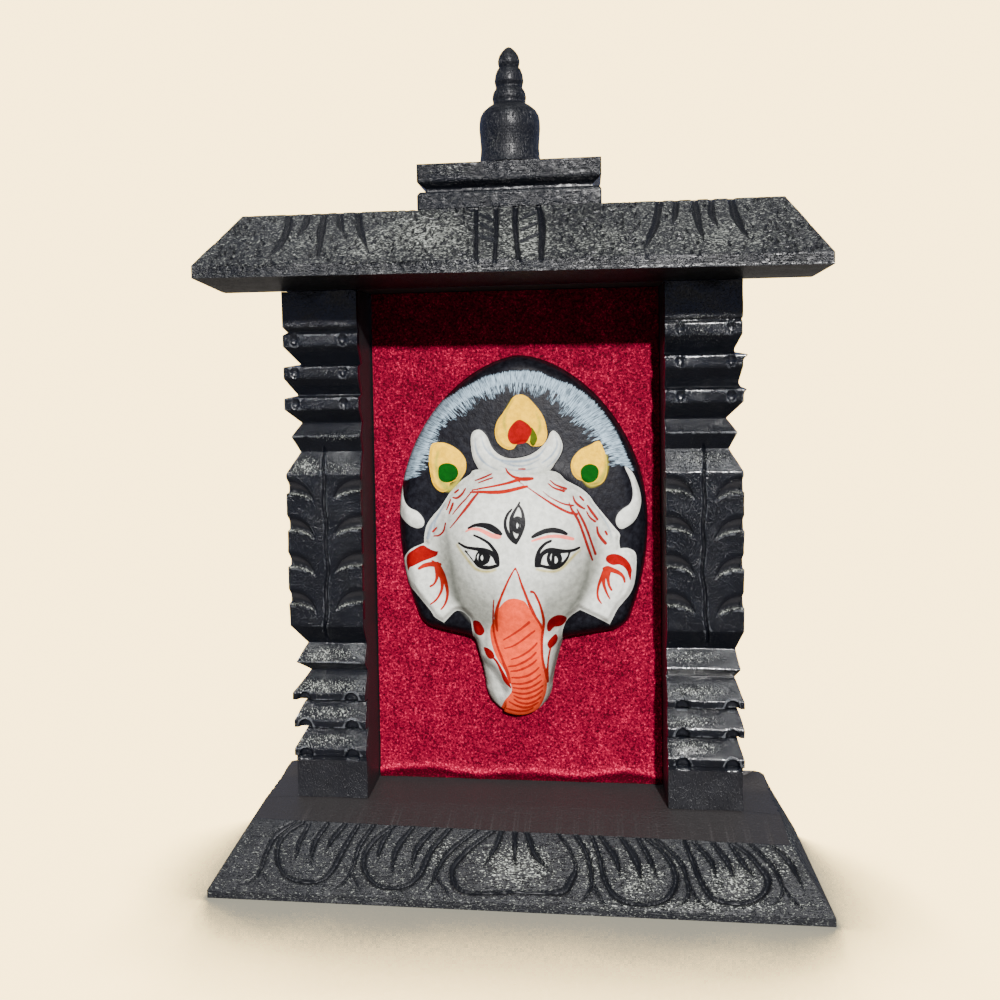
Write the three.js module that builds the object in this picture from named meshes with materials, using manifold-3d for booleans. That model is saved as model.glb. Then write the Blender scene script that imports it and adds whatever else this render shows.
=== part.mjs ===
// A carved wooden shrine frame, shaped like a small temple front, with a pressed Ganesha mask on red velvet.
// Millimetres, +Z up. The origin is under the middle of the base, and the front faces -Y.
import * as THREE from 'three';
import { mergeVertices } from 'three/addons/utils/BufferGeometryUtils.js';
import { ConvexGeometry } from 'three/addons/geometries/ConvexGeometry.js';
import Module from 'manifold-3d';

const wasm = await Module();
wasm.setup();

const WIDTH = 254;                 // over the roof's fascia, and over the base's lip
const DEPTH = 82;                  // from the base's lip to the flat back
const GAP = 0.3;                   // left between pieces that touch
const BACK = DEPTH / 2;
const FRONT = -DEPTH / 2;

const BASE_LIP = 3.3;              // height of the base's upright edge
const BASE_TOP = 27;               // height of the level part of the base, under the posts
const BASE_FRONT_LEFT = 26;        // the hand-cut front edge of the top dips to the right
const BASE_FRONT_RIGHT = 23.5;
const BASE_FRONT_SLOPE = 0.89;     // how far the front slope goes back for each millimetre up
const BASE_SIDE_SLOPE = 0.653;

const POST_FRONT = 0;              // Y of the posts' faces
const POST_INNER = 66;             // half the clear width between the posts
const POST_WIDTH = 33;
const POST_OUTER = POST_INNER + POST_WIDTH;

const ROOF_UNDER = 255.3;          // height of the roof's underside
const FASCIA = 5.6;                // height of the upright edge along the eaves
const ROOF_HEIGHT = 33.5;
const ROOF_TOP = ROOF_UNDER + ROOF_HEIGHT;
const ROOF_TOP_HALF = 115.5;       // half the length of the roof's top edge
const ROOF_FRONT = -39;
const ROOF_TOP_FRONT = -0.5;
const ROOF_BACK = 3;

const VELVET_FRONT = 27.5;
const VELVET_THICK = 2.2;
const BOARD_FRONT = VELVET_FRONT + VELVET_THICK + GAP;

const RIDGE_WIDTH = 78.4;
const RIDGE_HEIGHT = 19.5;
const RIDGE_DEPTH = 26.8;
const RIDGE_BOTTOM = ROOF_TOP + GAP;
const RIDGE_TOP = RIDGE_BOTTOM + RIDGE_HEIGHT;

const wood = { color: 0x2b2e33, roughness: 0.45, metalness: 0 };
const velvet = { color: 0xb3123a, roughness: 0.95, metalness: 0 };
const paint = { color: 0xd9d8d2, roughness: 0.6, metalness: 0 };

const vec = (x, y, z) => new THREE.Vector3(x, y, z);

// Plain position-only geometry with shared corners, which the solid library needs.
function weld(geometry) {
  geometry.deleteAttribute('normal');
  geometry.deleteAttribute('uv');
  return mergeVertices(geometry, 1e-4);
}

function toSolid(geometry) {
  const welded = weld(geometry);
  const vertProperties = Float32Array.from(welded.attributes.position.array);
  const triVerts = Uint32Array.from(welded.index.array);
  return new wasm.Manifold(new wasm.Mesh({ numProp: 3, vertProperties, triVerts }));
}

function toGeometry(solid) {
  const mesh = solid.getMesh();
  const geometry = new THREE.BufferGeometry();
  geometry.setAttribute('position', new THREE.BufferAttribute(Float32Array.from(mesh.vertProperties), 3));
  geometry.setIndex(new THREE.BufferAttribute(Uint32Array.from(mesh.triVerts), 1));
  return geometry;
}

// A closed mesh from corner points and triangles, turned so that its faces point out.
function closedMesh(points, triangles) {
  let volume = 0;
  for (const [a, b, c] of triangles) {
    volume += points[a].dot(points[b].clone().cross(points[c]));
  }
  const outward = volume < 0 ? triangles.map(([a, b, c]) => [a, c, b]) : triangles;
  const geometry = new THREE.BufferGeometry().setFromPoints(points);
  geometry.setIndex(outward.flat());
  return geometry;
}

// A run of equal closed sections joined into one solid, with a fan of triangles over each end.
function loft(sections) {
  const count = sections[0].length;
  const last = (sections.length - 1) * count;
  const triangles = [];
  for (let row = 0; row < last; row += count) {
    for (let i = 0; i < count; i += 1) {
      const next = (i + 1) % count;
      triangles.push([row + i, row + next, row + count + next]);
      triangles.push([row + i, row + count + next, row + count + i]);
    }
  }
  for (let i = 1; i < count - 1; i += 1) {
    triangles.push([0, i + 1, i]);
    triangles.push([last, last + i, last + i + 1]);
  }
  return toSolid(closedMesh(sections.flat(), triangles));
}

// A flat face to carve: its own axes are u along it, v up it and n out of it.
function face(origin, u, v) {
  const n = u.clone().cross(v).normalize();
  return (a, b, c) => origin.clone().addScaledVector(u, a).addScaledVector(v, b).addScaledVector(n, c);
}

// A V-shaped groove along a smooth line on a face. Each width is the groove's at that share of its length.
function groove(place, controls, widths, depthPerWidth, steps) {
  const curve = new THREE.CatmullRomCurve3(controls.map(([a, b]) => vec(a, b, 0)), false, 'centripetal');
  const lift = 0.6;
  const sections = [];
  for (let i = 0; i <= steps; i += 1) {
    const share = i / steps;
    const at = curve.getPoint(share);
    const along = curve.getTangent(share);
    const spot = share * (widths.length - 1);
    const low = Math.min(Math.floor(spot), widths.length - 2);
    const width = THREE.MathUtils.lerp(widths[low], widths[low + 1], spot - low);
    const depth = width * depthPerWidth;
    const reach = (width / 2) * (1 + lift / depth);
    sections.push([
      place(at.x - along.y * reach, at.y + along.x * reach, lift),
      place(at.x + along.y * reach, at.y - along.x * reach, lift),
      place(at.x, at.y, -depth),
    ]);
  }
  return loft(sections);
}

function carve(solid, cutters) {
  return cutters.reduce((left, cutter) => left.subtract(cutter), solid);
}

// A solid drawn as an outline in one upright plane and pushed straight along the other level axis.
function extrudeAlong(axis, outline, from, to) {
  const shape = new THREE.Shape(outline.map(([a, b]) => new THREE.Vector2(a, b)));
  const geometry = new THREE.ExtrudeGeometry(shape, { depth: to - from, bevelEnabled: false });
  const basis = axis === 'x'
    ? new THREE.Matrix4().makeBasis(vec(0, 1, 0), vec(0, 0, 1), vec(1, 0, 0)).setPosition(from, 0, 0)
    : new THREE.Matrix4().makeBasis(vec(1, 0, 0), vec(0, 0, 1), vec(0, -1, 0)).setPosition(0, to, 0);
  return toSolid(geometry.applyMatrix4(basis));
}

function box(x0, x1, y0, y1, z0, z1) {
  const geometry = new THREE.BoxGeometry(x1 - x0, y1 - y0, z1 - z0);
  return geometry.translate((x0 + x1) / 2, (y0 + y1) / 2, (z0 + z1) / 2);
}

// One lotus petal on a slope: a U-shaped groove whose arms lean, with three pointed flutes inside it.
function petal(place, middle, half, top) {
  const lean = (a) => a - Math.sign(a) * Math.min(9.5, Math.abs(a));
  const armWidths = [3.4, 3.6, 3, 3.6, 3.4];
  const cutters = [groove(place, [
    [lean(middle - half), top + 2],
    [middle - half, top * 0.5],
    [middle - half * 0.75, top * 0.24],
    [middle, top * 0.15],
    [middle + half * 0.75, top * 0.24],
    [middle + half, top * 0.5],
    [lean(middle + half), top + 2],
  ], armWidths, 0.42, 10)];
  for (const share of [-0.52, 0, 0.54]) {
    const tip = middle + half * share;
    const drop = share === 0 ? 0.34 : 0.44;
    cutters.push(groove(place, [[lean(tip), top + 2], [tip, top * 0.7], [tip, top * drop]], [4.6, 3.8, 0.4], 0.4, 4));
  }
  return cutters;
}

// The S-shaped groove between two petals, which ends in a fork at the foot of the slope.
function fork(place, middle, top) {
  const lean = middle - Math.sign(middle) * Math.min(9.5, Math.abs(middle));
  const node = [middle, top * 0.26];
  return [
    groove(place, [[lean, top + 2], [middle, top * 0.55], node], [3, 3, 2.6], 0.42, 4),
    groove(place, [node, [middle - 8.5, top * 0.08]], [2.6, 1], 0.42, 2),
    groove(place, [node, [middle + 6.5, top * 0.05]], [2.6, 1], 0.42, 2),
  ];
}

// The plinth: a low block with sloping front and sides, its slopes carved with a row of lotus petals.
function basePlinth() {
  const half = WIDTH / 2;
  const inset = (height) => half - (height - BASE_LIP) * BASE_SIDE_SLOPE;
  const setBack = (height) => FRONT + (height - BASE_LIP) * BASE_FRONT_SLOPE;
  const corners = [
    vec(-inset(BASE_FRONT_LEFT), setBack(BASE_FRONT_LEFT), BASE_FRONT_LEFT),
    vec(inset(BASE_FRONT_RIGHT), setBack(BASE_FRONT_RIGHT), BASE_FRONT_RIGHT),
  ];
  for (const side of [-1, 1]) {
    for (const height of [0, BASE_LIP]) {
      corners.push(vec(side * half, FRONT, height), vec(side * half, BACK, height));
    }
    corners.push(vec(side * inset(BASE_TOP), POST_FRONT - 1, BASE_TOP), vec(side * inset(BASE_TOP), BACK, BASE_TOP));
  }
  const cutters = [];
  const frontUp = vec(0, BASE_FRONT_SLOPE, 1).normalize();
  const front = face(vec(0, FRONT, BASE_LIP), vec(1, 0, 0), frontUp);
  const frontTop = (BASE_FRONT_LEFT - BASE_LIP) / frontUp.z;
  for (const [middle, reach] of [[-87.5, 12], [-50, 12], [0.7, 25], [52.5, 13], [89.5, 11.5]]) {
    cutters.push(...petal(front, middle, reach, frontTop));
  }
  for (const middle of [-105, -67, -31.5, 32, 72, 108]) {
    cutters.push(...fork(front, middle, frontTop));
  }
  for (const side of [-1, 1]) {
    const up = vec(-side * BASE_SIDE_SLOPE, 0, 1).normalize();
    const slope = face(vec(side * half, 4, BASE_LIP), vec(0, side, 0), up);
    const top = (BASE_TOP - BASE_LIP) / up.z;
    for (const middle of [-17, 17]) {
      cutters.push(...petal(slope, middle, 11.5, top));
    }
    cutters.push(...fork(slope, -0.1, top));
  }
  return carve(toSolid(new ConvexGeometry(corners)), cutters);
}

// Heights and depths down a post's face, from the foot up: [how far in, height].
function postProfile() {
  const points = [[0.8, BASE_TOP + GAP], [0.8, 46]];
  for (const lip of [46.3, 59.2, 71.8]) {
    points.push([0, lip], [0, lip + 3.2]);
    points.push([5.3, lip + 12.4]);
  }
  points.pop();
  points.push([7.2, 84], [1.8, 88.6], [7.2, 96.5], [0, 105.5]);
  points.push([0, 174], [7.2, 183.5], [2.2, 190.5], [7.6, 196.5]);
  for (const [lip, notch] of [[204.3, 6.5], [218.2, 7], [232.4, 4]]) {
    points.push([0, lip], [0, lip + 3.4], [notch, lip + 4.6]);
  }
  points.push([0, 239], [0, ROOF_UNDER - GAP]);
  return points;
}

// One fish-scale cut: a curved gouge struck in at the bottom, and the wood above it sloped down to it.
function scale(place, middle, height) {
  const steps = 8;
  const sections = [];
  for (let i = 0; i <= steps; i += 1) {
    const turn = Math.PI * (0.08 + 0.84 * (i / steps));
    const across = Math.cos(turn);
    const rise = Math.sin(turn);
    const deep = 2.2 * rise + 0.2;
    sections.push([
      place(middle + 9.2 * across, height - 4 + 10.5 * rise, 0.3),
      place(middle + 9 * across, height - 5 + 5 * rise, 0.3),
      place(middle + 9 * across, height - 5 + 5 * rise, -deep),
    ]);
  }
  return loft(sections);
}

// A short round gouge mark: upright on the upper lips, driven in from the front on the lower ones.
function notch(x, y, z, radius, length, axis) {
  const geometry = new THREE.CylinderGeometry(radius, radius, length, 8);
  if (axis === 'z') {
    geometry.rotateX(Math.PI / 2 - 0.3);
  }
  return toSolid(geometry.translate(x, y, z));
}

function rightPost() {
  const profile = postProfile();
  const top = ROOF_UNDER - GAP;
  const foot = BASE_TOP + GAP;
  const front = [...profile.map(([inset, z]) => [POST_FRONT + inset, z]), [BACK, top], [BACK, foot]];
  const outer = [...profile.map(([inset, z]) => [POST_OUTER - inset, z]), [POST_INNER, top], [POST_INNER, foot]];
  const across = extrudeAlong('x', front, POST_INNER, POST_OUTER + 1);
  const along = extrudeAlong('y', outer, POST_FRONT - 1, BACK);
  const place = face(vec(0, POST_FRONT, 0), vec(1, 0, 0), vec(0, 0, 1));
  const middle = POST_INNER + POST_WIDTH / 2;
  const cutters = [groove(place, [[middle + 1, 101], [middle - 1, 130], [middle, 178]], [2.2, 2], 0.6, 5)];
  for (let row = 0; row < 4; row += 1) {
    const height = 116 + row * 16.6;
    cutters.push(scale(place, POST_OUTER - 3.5, height));
    cutters.push(scale(place, POST_INNER + 4.5, height + 1));
  }
  for (const x of [middle - 10.3, middle + 10.3]) {
    for (const z of [204.3, 218.2, 232.4]) {
      cutters.push(notch(x, POST_FRONT + 0.4, z + 1, 2.3, 8.5, 'z'));
    }
    for (const z of [46.3, 59.2, 71.8]) {
      cutters.push(notch(x, POST_FRONT, z, 3, 4.4, 'y'));
    }
  }
  return carve(across.intersect(along), cutters);
}

function mirrored(geometry) {
  const copy = geometry.clone();
  copy.scale(-1, 1, 1);
  const index = copy.index.array;
  for (let i = 0; i < index.length; i += 3) {
    [index[i], index[i + 1]] = [index[i + 1], index[i]];
  }
  return copy;
}

// The roof: a long wedge with hipped ends, its slope cut with fans of strokes and a fluted middle.
function roof() {
  const half = WIDTH / 2;
  const eaves = ROOF_UNDER + FASCIA;
  const corners = [];
  for (const side of [-half, half]) {
    for (const z of [ROOF_UNDER, eaves]) {
      corners.push(vec(side, ROOF_FRONT, z), vec(side, ROOF_BACK, z));
    }
  }
  for (const side of [-ROOF_TOP_HALF, ROOF_TOP_HALF]) {
    corners.push(vec(side, ROOF_TOP_FRONT, ROOF_TOP), vec(side, ROOF_BACK, ROOF_TOP));
  }
  const rise = vec(0, ROOF_TOP_FRONT - ROOF_FRONT, ROOF_TOP - eaves);
  const top = rise.length();
  const place = face(vec(0, ROOF_FRONT, eaves), vec(1, 0, 0), rise.normalize());
  const cutters = [];
  for (const side of [-1, 1]) {
    for (const [start, tip, drop] of [[95, 97, 8], [86.5, 87, 24], [79.7, 77.7, 10], [71.5, 69, 28], [64, 54.5, 8]]) {
      const bend = [side * (start * 0.7 + tip * 0.3), (top + drop) / 2];
      cutters.push(groove(place, [[side * start, top + 2], bend, [side * tip, drop]], [3.6, 3.4, 0.5], 0.5, 6));
    }
  }
  for (const x of [-11.5, -3.7, 5.4, 15.2]) {
    cutters.push(groove(place, [[x - 0.6, top + 2], [x + 0.6, -2]], [2.6, 2.6], 0.5, 2));
  }
  for (const height of [39, 30, 19.5]) {
    cutters.push(groove(place, [[-11, height + 2], [-4.5, height - 2]], [1.6, 1.6], 0.6, 2));
    cutters.push(groove(place, [[7, height - 2], [13, height + 2]], [1.6, 1.6], 0.6, 2));
  }
  return carve(toSolid(new ConvexGeometry(corners)), cutters);
}

// The block on the roof's top, parted into two slabs by a groove round its front and ends.
function ridgeBlock() {
  const half = RIDGE_WIDTH / 2;
  const cut = [[0, RIDGE_BOTTOM], [0, RIDGE_BOTTOM + 7.6], [3.4, RIDGE_BOTTOM + 7.9]];
  cut.push([0, RIDGE_BOTTOM + 11.8], [0, RIDGE_TOP]);
  const front = [...cut.map(([inset, z]) => [inset, z]), [RIDGE_DEPTH, RIDGE_TOP], [RIDGE_DEPTH, RIDGE_BOTTOM]];
  const ends = cut.map(([inset, z]) => [half - inset, z]);
  ends.push(...cut.map(([inset, z]) => [inset - half, z]).reverse());
  return extrudeAlong('x', front, -half - 1, half + 1).intersect(extrudeAlong('y', ends, -1, RIDGE_DEPTH));
}

// The turned finial: a foot, a bell, two rings and a small cone, as [radius, height over the block].
function finial() {
  const profile = [
    [0, 0], [13.2, 0], [13.3, 3.6], [12, 7.4], [12.3, 12], [13, 17.8], [11.8, 22.6], [8.8, 27], [7.05, 27.6],
    [7.05, 29.2], [5.5, 34.4], [6.05, 38.2], [4.4, 43], [4.85, 44.8], [2.4, 50], [0, 51.6],
  ];
  const geometry = new THREE.LatheGeometry(profile.map(([r, z]) => new THREE.Vector2(r, z)), 24);
  return geometry.rotateX(Math.PI / 2);
}

// The mask's form. Its hood, head, ears and trunk are heights over the velvet, blended by smooth steps.
const MASK_BACK = VELVET_FRONT - GAP;
const MASK_WALL = 3;
const HOOD_X = 3;
const HOOD_Z = 150;
const HOOD_HALF = 57;
const HOOD_RISE = 75.5;
const HOOD_FOOT = 98;
const FACE_X = 1.3;
const HEAD_Z = 142;
const RIM = 1.5;                           // upright edge of the mask against the velvet
const TRUNK_TIP = 60;
const MASK_HEART = vec(1.5, 0, 122);       // the middle from which the mask's mesh spreads

const clamp = THREE.MathUtils.clamp;
const step = THREE.MathUtils.smoothstep;
const dome = (x, z, cx, cz, rx, rz) => Math.max(0, 1 - ((x - cx) / rx) ** 2 - ((z - cz) / rz) ** 2);

function trunkHalf(z) {
  const tip = TRUNK_TIP + 15.5;
  return z > tip ? 15.5 + 5.5 * ((z - tip) / 22) ** 1.2 : Math.sqrt(Math.max(0, 15.5 ** 2 - (tip - z) ** 2));
}

function insideMask(x, z) {
  const across = Math.abs(x - HOOD_X);
  if (z >= HOOD_Z) {
    const share = (z - HOOD_Z) / HOOD_RISE;
    return share < 1 && across < HOOD_HALF * (1 - share * share) ** 0.6;
  }
  const corner = 1 - clamp((z - HOOD_FOOT) / 7, 0, 1);
  const hood = z > HOOD_FOOT && across < HOOD_HALF - 11.4 * ((HOOD_Z - z) / 52) ** 2 - 6 * corner ** 2;
  return hood || (z < 110 && z > TRUNK_TIP && Math.abs(x - 0.8) < trunkHalf(z));
}

function maskOutline(count) {
  const outline = [];
  for (let i = 0; i < count; i += 1) {
    const turn = (2 * Math.PI * (i + 0.5)) / count;
    let near = 5;
    let far = 130;
    while (far - near > 0.01) {
      const middle = (near + far) / 2;
      const inside = insideMask(MASK_HEART.x + middle * Math.sin(turn), MASK_HEART.z - middle * Math.cos(turn));
      [near, far] = inside ? [middle, far] : [near, middle];
    }
    outline.push(vec(MASK_HEART.x + near * Math.sin(turn), 0, MASK_HEART.z - near * Math.cos(turn)));
  }
  return outline;
}

// How high the mask stands over the velvet at a point that lies the given distance inside its outline.
function maskHeight(x, z, inside) {
  const hood = 11 * Math.sqrt(1 - (1 - clamp(inside / 12, 0, 1)) ** 2);
  const crown = 4 * Math.sqrt(dome(x, z, FACE_X, 150, 52, 68));
  const head = 12 * Math.sqrt(dome(x, z, FACE_X + 1, HEAD_Z, 41, z > HEAD_Z ? 34 : 44));
  const side = clamp(1 - ((x - 0.8) / (trunkHalf(Math.min(z, 125)) - 2)) ** 2, 0, 1);
  const trunk = 8 * Math.sqrt(side) * (1 - step(z, 112, 142));
  return RIM + hood + crown + head + trunk;
}

// A flat raised shape on the mask, such as an ear, from a smooth outline: its underside stays in the wall.
function raised(outline, low, high) {
  const shape = new THREE.Shape();
  shape.moveTo(...outline[0]);
  shape.splineThru(outline.slice(1).map(([x, z]) => new THREE.Vector2(x, z)));
  const ring = shape.getSpacedPoints(22).slice(0, -1).map((p) => [p.x, p.y]);
  return extrudeAlong('y', ring, MASK_BACK - high, MASK_BACK - low);
}

// The ear flaps, wide above and drawn out to a point below, and the crescent moon over the brow.
function earFlap(side) {
  const outline = [
    [30, 137], [41, 142], [50, 139], [52, 130], [49, 121], [42, 111], [36.5, 105], [31, 110], [26, 114], [30, 137],
  ];
  return raised(outline.map(([x, z]) => [HOOD_X + side * x, z]), 10, 17.5);
}

function crescent() {
  const outline = [
    [-18, 191], [-10, 182.5], [0, 179.5], [10, 182.5], [18, 191], [20, 186], [15, 176], [8, 172], [-8, 172],
    [-15, 176], [-20, 186], [-18, 191],
  ];
  return raised(outline.map(([x, z]) => [FACE_X + 1 + x, z]), 13, 18.5);
}

function mask() {
  const count = 58;
  const outline = maskOutline(count);
  const edgeDistance = (x, z) => Math.min(...outline.map((p, i) => {
    const q = outline[(i + 1) % count];
    const share = clamp(((x - p.x) * (q.x - p.x) + (z - p.z) * (q.z - p.z)) / p.distanceToSquared(q), 0, 1);
    return Math.hypot(x - p.x - share * (q.x - p.x), z - p.z - share * (q.z - p.z));
  }));
  const points = [];
  const triangles = [];
  // Ring after ring goes up the outside, over the front to the heart, and back down the inside.
  const addRing = (share, trim, thin) => {
    for (const p of outline) {
      const x = MASK_HEART.x + (p.x - MASK_HEART.x) * share;
      const z = MASK_HEART.z + (p.z - MASK_HEART.z) * share;
      const inside = share < 1 ? edgeDistance(x, z) : 0;
      const height = trim ?? maskHeight(x, z, Math.max(inside - thin, 0)) - thin;
      points.push(vec(x, MASK_BACK - Math.max(height, 0), z));
    }
  };
  const outerShares = [1, 1, 0.98, 0.95, 0.91];
  for (let share = 0.86; share > 0.04; share -= 0.062) {
    outerShares.push(share);
  }
  outerShares.forEach((share, i) => addRing(share, i === 0 ? 0 : (i === 1 ? RIM : undefined), 0));
  const heart = points.length;
  points.push(vec(MASK_HEART.x, MASK_BACK - maskHeight(MASK_HEART.x, MASK_HEART.z, 20), MASK_HEART.z));
  const innerShares = [0.15, 0.35, 0.55, 0.75, 0.88];
  const innerStart = points.length;
  innerShares.forEach((share) => addRing(share, undefined, MASK_WALL));
  addRing(0.935, 0, 0);
  const innerHeart = points.length;
  points.push(vec(MASK_HEART.x, points[heart].y + MASK_WALL, MASK_HEART.z));
  const stitch = (from, to) => {
    for (let i = 0; i < count; i += 1) {
      const next = (i + 1) % count;
      triangles.push([from + i, from + next, to + next], [from + i, to + next, to + i]);
    }
  };
  for (let ring = 0; ring < outerShares.length - 1; ring += 1) {
    stitch(ring * count, (ring + 1) * count);
  }
  for (let ring = 0; ring < innerShares.length; ring += 1) {
    stitch(innerStart + ring * count, innerStart + (ring + 1) * count);
  }
  stitch(innerStart + innerShares.length * count, 0);
  const lastOuter = (outerShares.length - 1) * count;
  for (let i = 0; i < count; i += 1) {
    const next = (i + 1) % count;
    triangles.push([lastOuter + i, lastOuter + next, heart], [innerStart + i, innerHeart, innerStart + next]);
  }
  return [earFlap(-1), earFlap(1), crescent()].reduce((form, piece) => form.add(piece), toSolid(closedMesh(points, triangles)));
}

const shrine = new THREE.Group();

function add(name, geometry, look) {
  const mesh = new THREE.Mesh(geometry, new THREE.MeshStandardMaterial(look));
  mesh.name = name;
  shrine.add(mesh);
  return mesh;
}

const postGeometry = toGeometry(rightPost());
add('base_plinth', toGeometry(basePlinth()), wood);
add('post_right', postGeometry, wood);
add('post_left', mirrored(postGeometry), wood);
add('roof', toGeometry(roof()), wood);
add('cap_rail', box(-POST_OUTER, POST_OUTER, ROOF_BACK + GAP, BACK, ROOF_UNDER, ROOF_TOP), wood);
add('ridge_block', toGeometry(ridgeBlock()), wood).position.set(0, 0.6, 0);
add('finial', finial(), wood).position.set(0.8, 14, RIDGE_TOP + GAP);
const inner = POST_INNER - GAP;
const niche = [BASE_TOP + GAP, ROOF_UNDER - GAP];
add('backing_board', box(-inner, inner, BOARD_FRONT, BACK, ...niche), wood);
add('velvet_panel', box(-inner, inner, VELVET_FRONT, VELVET_FRONT + VELVET_THICK, ...niche), velvet);
add('mask', toGeometry(mask()), paint);

export default shrine;
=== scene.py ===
"""A black carved wooden shrine frame that holds a painted, pressed Ganesha mask on red velvet.

Sizes are in millimetres until a mesh is made. The origin is under the middle of the base, the front faces -Y.
Carved lines and brush strokes are given where they are seen in the photograph, in its pixels, and are laid
on the wood and on the mask from the camera's place.
"""
import math

import bpy
import numpy as np
from mathutils import Matrix, Vector


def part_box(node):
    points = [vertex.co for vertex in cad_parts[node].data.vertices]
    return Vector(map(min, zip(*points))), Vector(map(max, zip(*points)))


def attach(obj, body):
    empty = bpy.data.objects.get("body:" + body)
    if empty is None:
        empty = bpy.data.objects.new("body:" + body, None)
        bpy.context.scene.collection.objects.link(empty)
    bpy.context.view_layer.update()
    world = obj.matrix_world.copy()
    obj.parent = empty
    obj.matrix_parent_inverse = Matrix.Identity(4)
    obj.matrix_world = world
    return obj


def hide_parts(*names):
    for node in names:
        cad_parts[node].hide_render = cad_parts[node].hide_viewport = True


bl_info = {
    "name": "Framed Ganesha Mask",
    "version": (1, 0, 0),
    "blender": (4, 5, 0),
    "location": "View3D > Sidebar > Shrine",
    "description": "Builds a carved wooden shrine frame with a painted mask on velvet",
    "category": "Add Mesh",
}

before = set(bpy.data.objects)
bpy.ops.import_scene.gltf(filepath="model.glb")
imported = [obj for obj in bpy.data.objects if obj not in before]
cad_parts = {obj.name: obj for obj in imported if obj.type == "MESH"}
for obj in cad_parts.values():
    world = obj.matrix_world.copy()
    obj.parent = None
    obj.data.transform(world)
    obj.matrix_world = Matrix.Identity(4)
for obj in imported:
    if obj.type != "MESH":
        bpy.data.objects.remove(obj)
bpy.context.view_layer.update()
MM = 0.001


def node_box(node):
    """A node's lowest and highest corners, in millimetres."""
    return [np.array(corner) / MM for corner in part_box(node)]


# The camera of the photograph, worked out from the frame's corners.
PHOTO_SIZE = 1000               # pixels each way
FOCAL = 1050                    # pixels
OPTICAL_CENTRE = (450.5, 423.8)
CAMERA_PLACE = np.array([31.6, -454.5, 217.3])
CAMERA_TURN = -0.1261           # radians to the right
CAMERA_TILT = -0.0472           # radians up
CAMERA_ROLL = -0.0174
FAR = 9.0                       # pixels beyond which a stroke isn't felt
PIXEL_ON_BASE = 0.47            # millimetres of wood under one pixel
PIXEL_ON_ROOF = 0.45

# The base: an upright lip, then slopes at the front and sides up to a level top.
BASE_LOW, BASE_HIGH = node_box("base_plinth")
BASE_HALF = BASE_HIGH[0]
BASE_FRONT = BASE_LOW[1]
BACK = BASE_HIGH[1]
BASE_TOP = BASE_HIGH[2]
BASE_LIP = 3.3                  # height of the upright edge
BASE_FRONT_LEFT = 26            # height of the front slope's upper edge, at its two ends
BASE_FRONT_RIGHT = 23.5
BASE_FRONT_SLOPE = 0.89         # how far a slope goes in for each millimetre up
BASE_SIDE_SLOPE = 0.585
BASE_LEVEL_FROM = -1            # Y from which the top is level

# The posts: one profile on the front and on the outer side.
POST_LOW, POST_HIGH = node_box("post_right")
POST_INNER = POST_LOW[0]
POST_OUTER = POST_HIGH[0]
POST_FRONT = POST_LOW[1]
POST_FOOT = POST_LOW[2]
POST_TOP = POST_HIGH[2]

# The roof: a long wedge with hipped ends.
ROOF_LOW, ROOF_HIGH = node_box("roof")
ROOF_HALF = ROOF_HIGH[0]
ROOF_UNDER = ROOF_LOW[2]
ROOF_TOP = ROOF_HIGH[2]
ROOF_FRONT = ROOF_LOW[1]
ROOF_BACK = ROOF_HIGH[1]
ROOF_TOP_HALF = 115.5           # half the length of the top edge
ROOF_TOP_FRONT = -0.5           # its Y
FASCIA = 5.6                    # height of the upright edge along the eaves

RIDGE_LOW, RIDGE_HIGH = node_box("ridge_block")
FINIAL_LOW, FINIAL_HIGH = node_box("finial")
VELVET_LOW, VELVET_HIGH = node_box("velvet_panel")
MASK_LOW, MASK_HIGH = node_box("mask")


class ShrineSettings(bpy.types.PropertyGroup):
    """What a user would change on the frame, the velvet and the mask."""

    cut_depth: bpy.props.FloatProperty(
        name="Cut depth", description="Depth of the carved lines in the wood, as a share of their width",
        default=0.42, min=0.1, max=1, subtype="FACTOR")
    hand_wobble: bpy.props.FloatProperty(
        name="Hand wobble", description="How far the hand-cut faces stray from flat",
        default=0.00022, min=0, max=0.002, unit="LENGTH")
    wood_colour: bpy.props.FloatVectorProperty(
        name="Wood paint", description="Colour of the black paint on the wood",
        default=(0.0019, 0.0023, 0.0038), size=3, min=0, max=1, subtype="COLOR")
    # The colour of rubbed edges, which also paints highlights along the edges that stand proud.
    worn_colour: bpy.props.FloatVectorProperty(
        name="Worn wood", description="Colour of the wood's rubbed edges",
        default=(0.075, 0.08, 0.088), size=3, min=0, max=1, subtype="COLOR")
    velvet_colour: bpy.props.FloatVectorProperty(
        name="Velvet", description="Colour of the velvet's pile",
        default=(0.13, 0.001, 0.013), size=3, min=0, max=1, subtype="COLOR")
    gesso_colour: bpy.props.FloatVectorProperty(
        name="White paint", description="Colour of the mask's white ground",
        default=(0.62, 0.635, 0.58), size=3, min=0, max=1, subtype="COLOR")
    light_strength: bpy.props.FloatProperty(
        name="Light", description="Strength of the studio lights", default=1, min=0, max=4, subtype="FACTOR")


# Mesh tools

def edit(piece, mode="VERT"):
    """Opens one piece in edit mode with nothing selected."""
    bpy.ops.object.select_all(action="DESELECT")
    piece.select_set(True)
    bpy.context.view_layer.objects.active = piece
    bpy.ops.object.mode_set(mode="EDIT")
    bpy.ops.mesh.select_mode(type=mode)
    bpy.ops.mesh.select_all(action="DESELECT")


def leave_edit():
    """Goes back to object mode, which writes the selection to the mesh."""
    bpy.ops.object.mode_set(mode="OBJECT")


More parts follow.
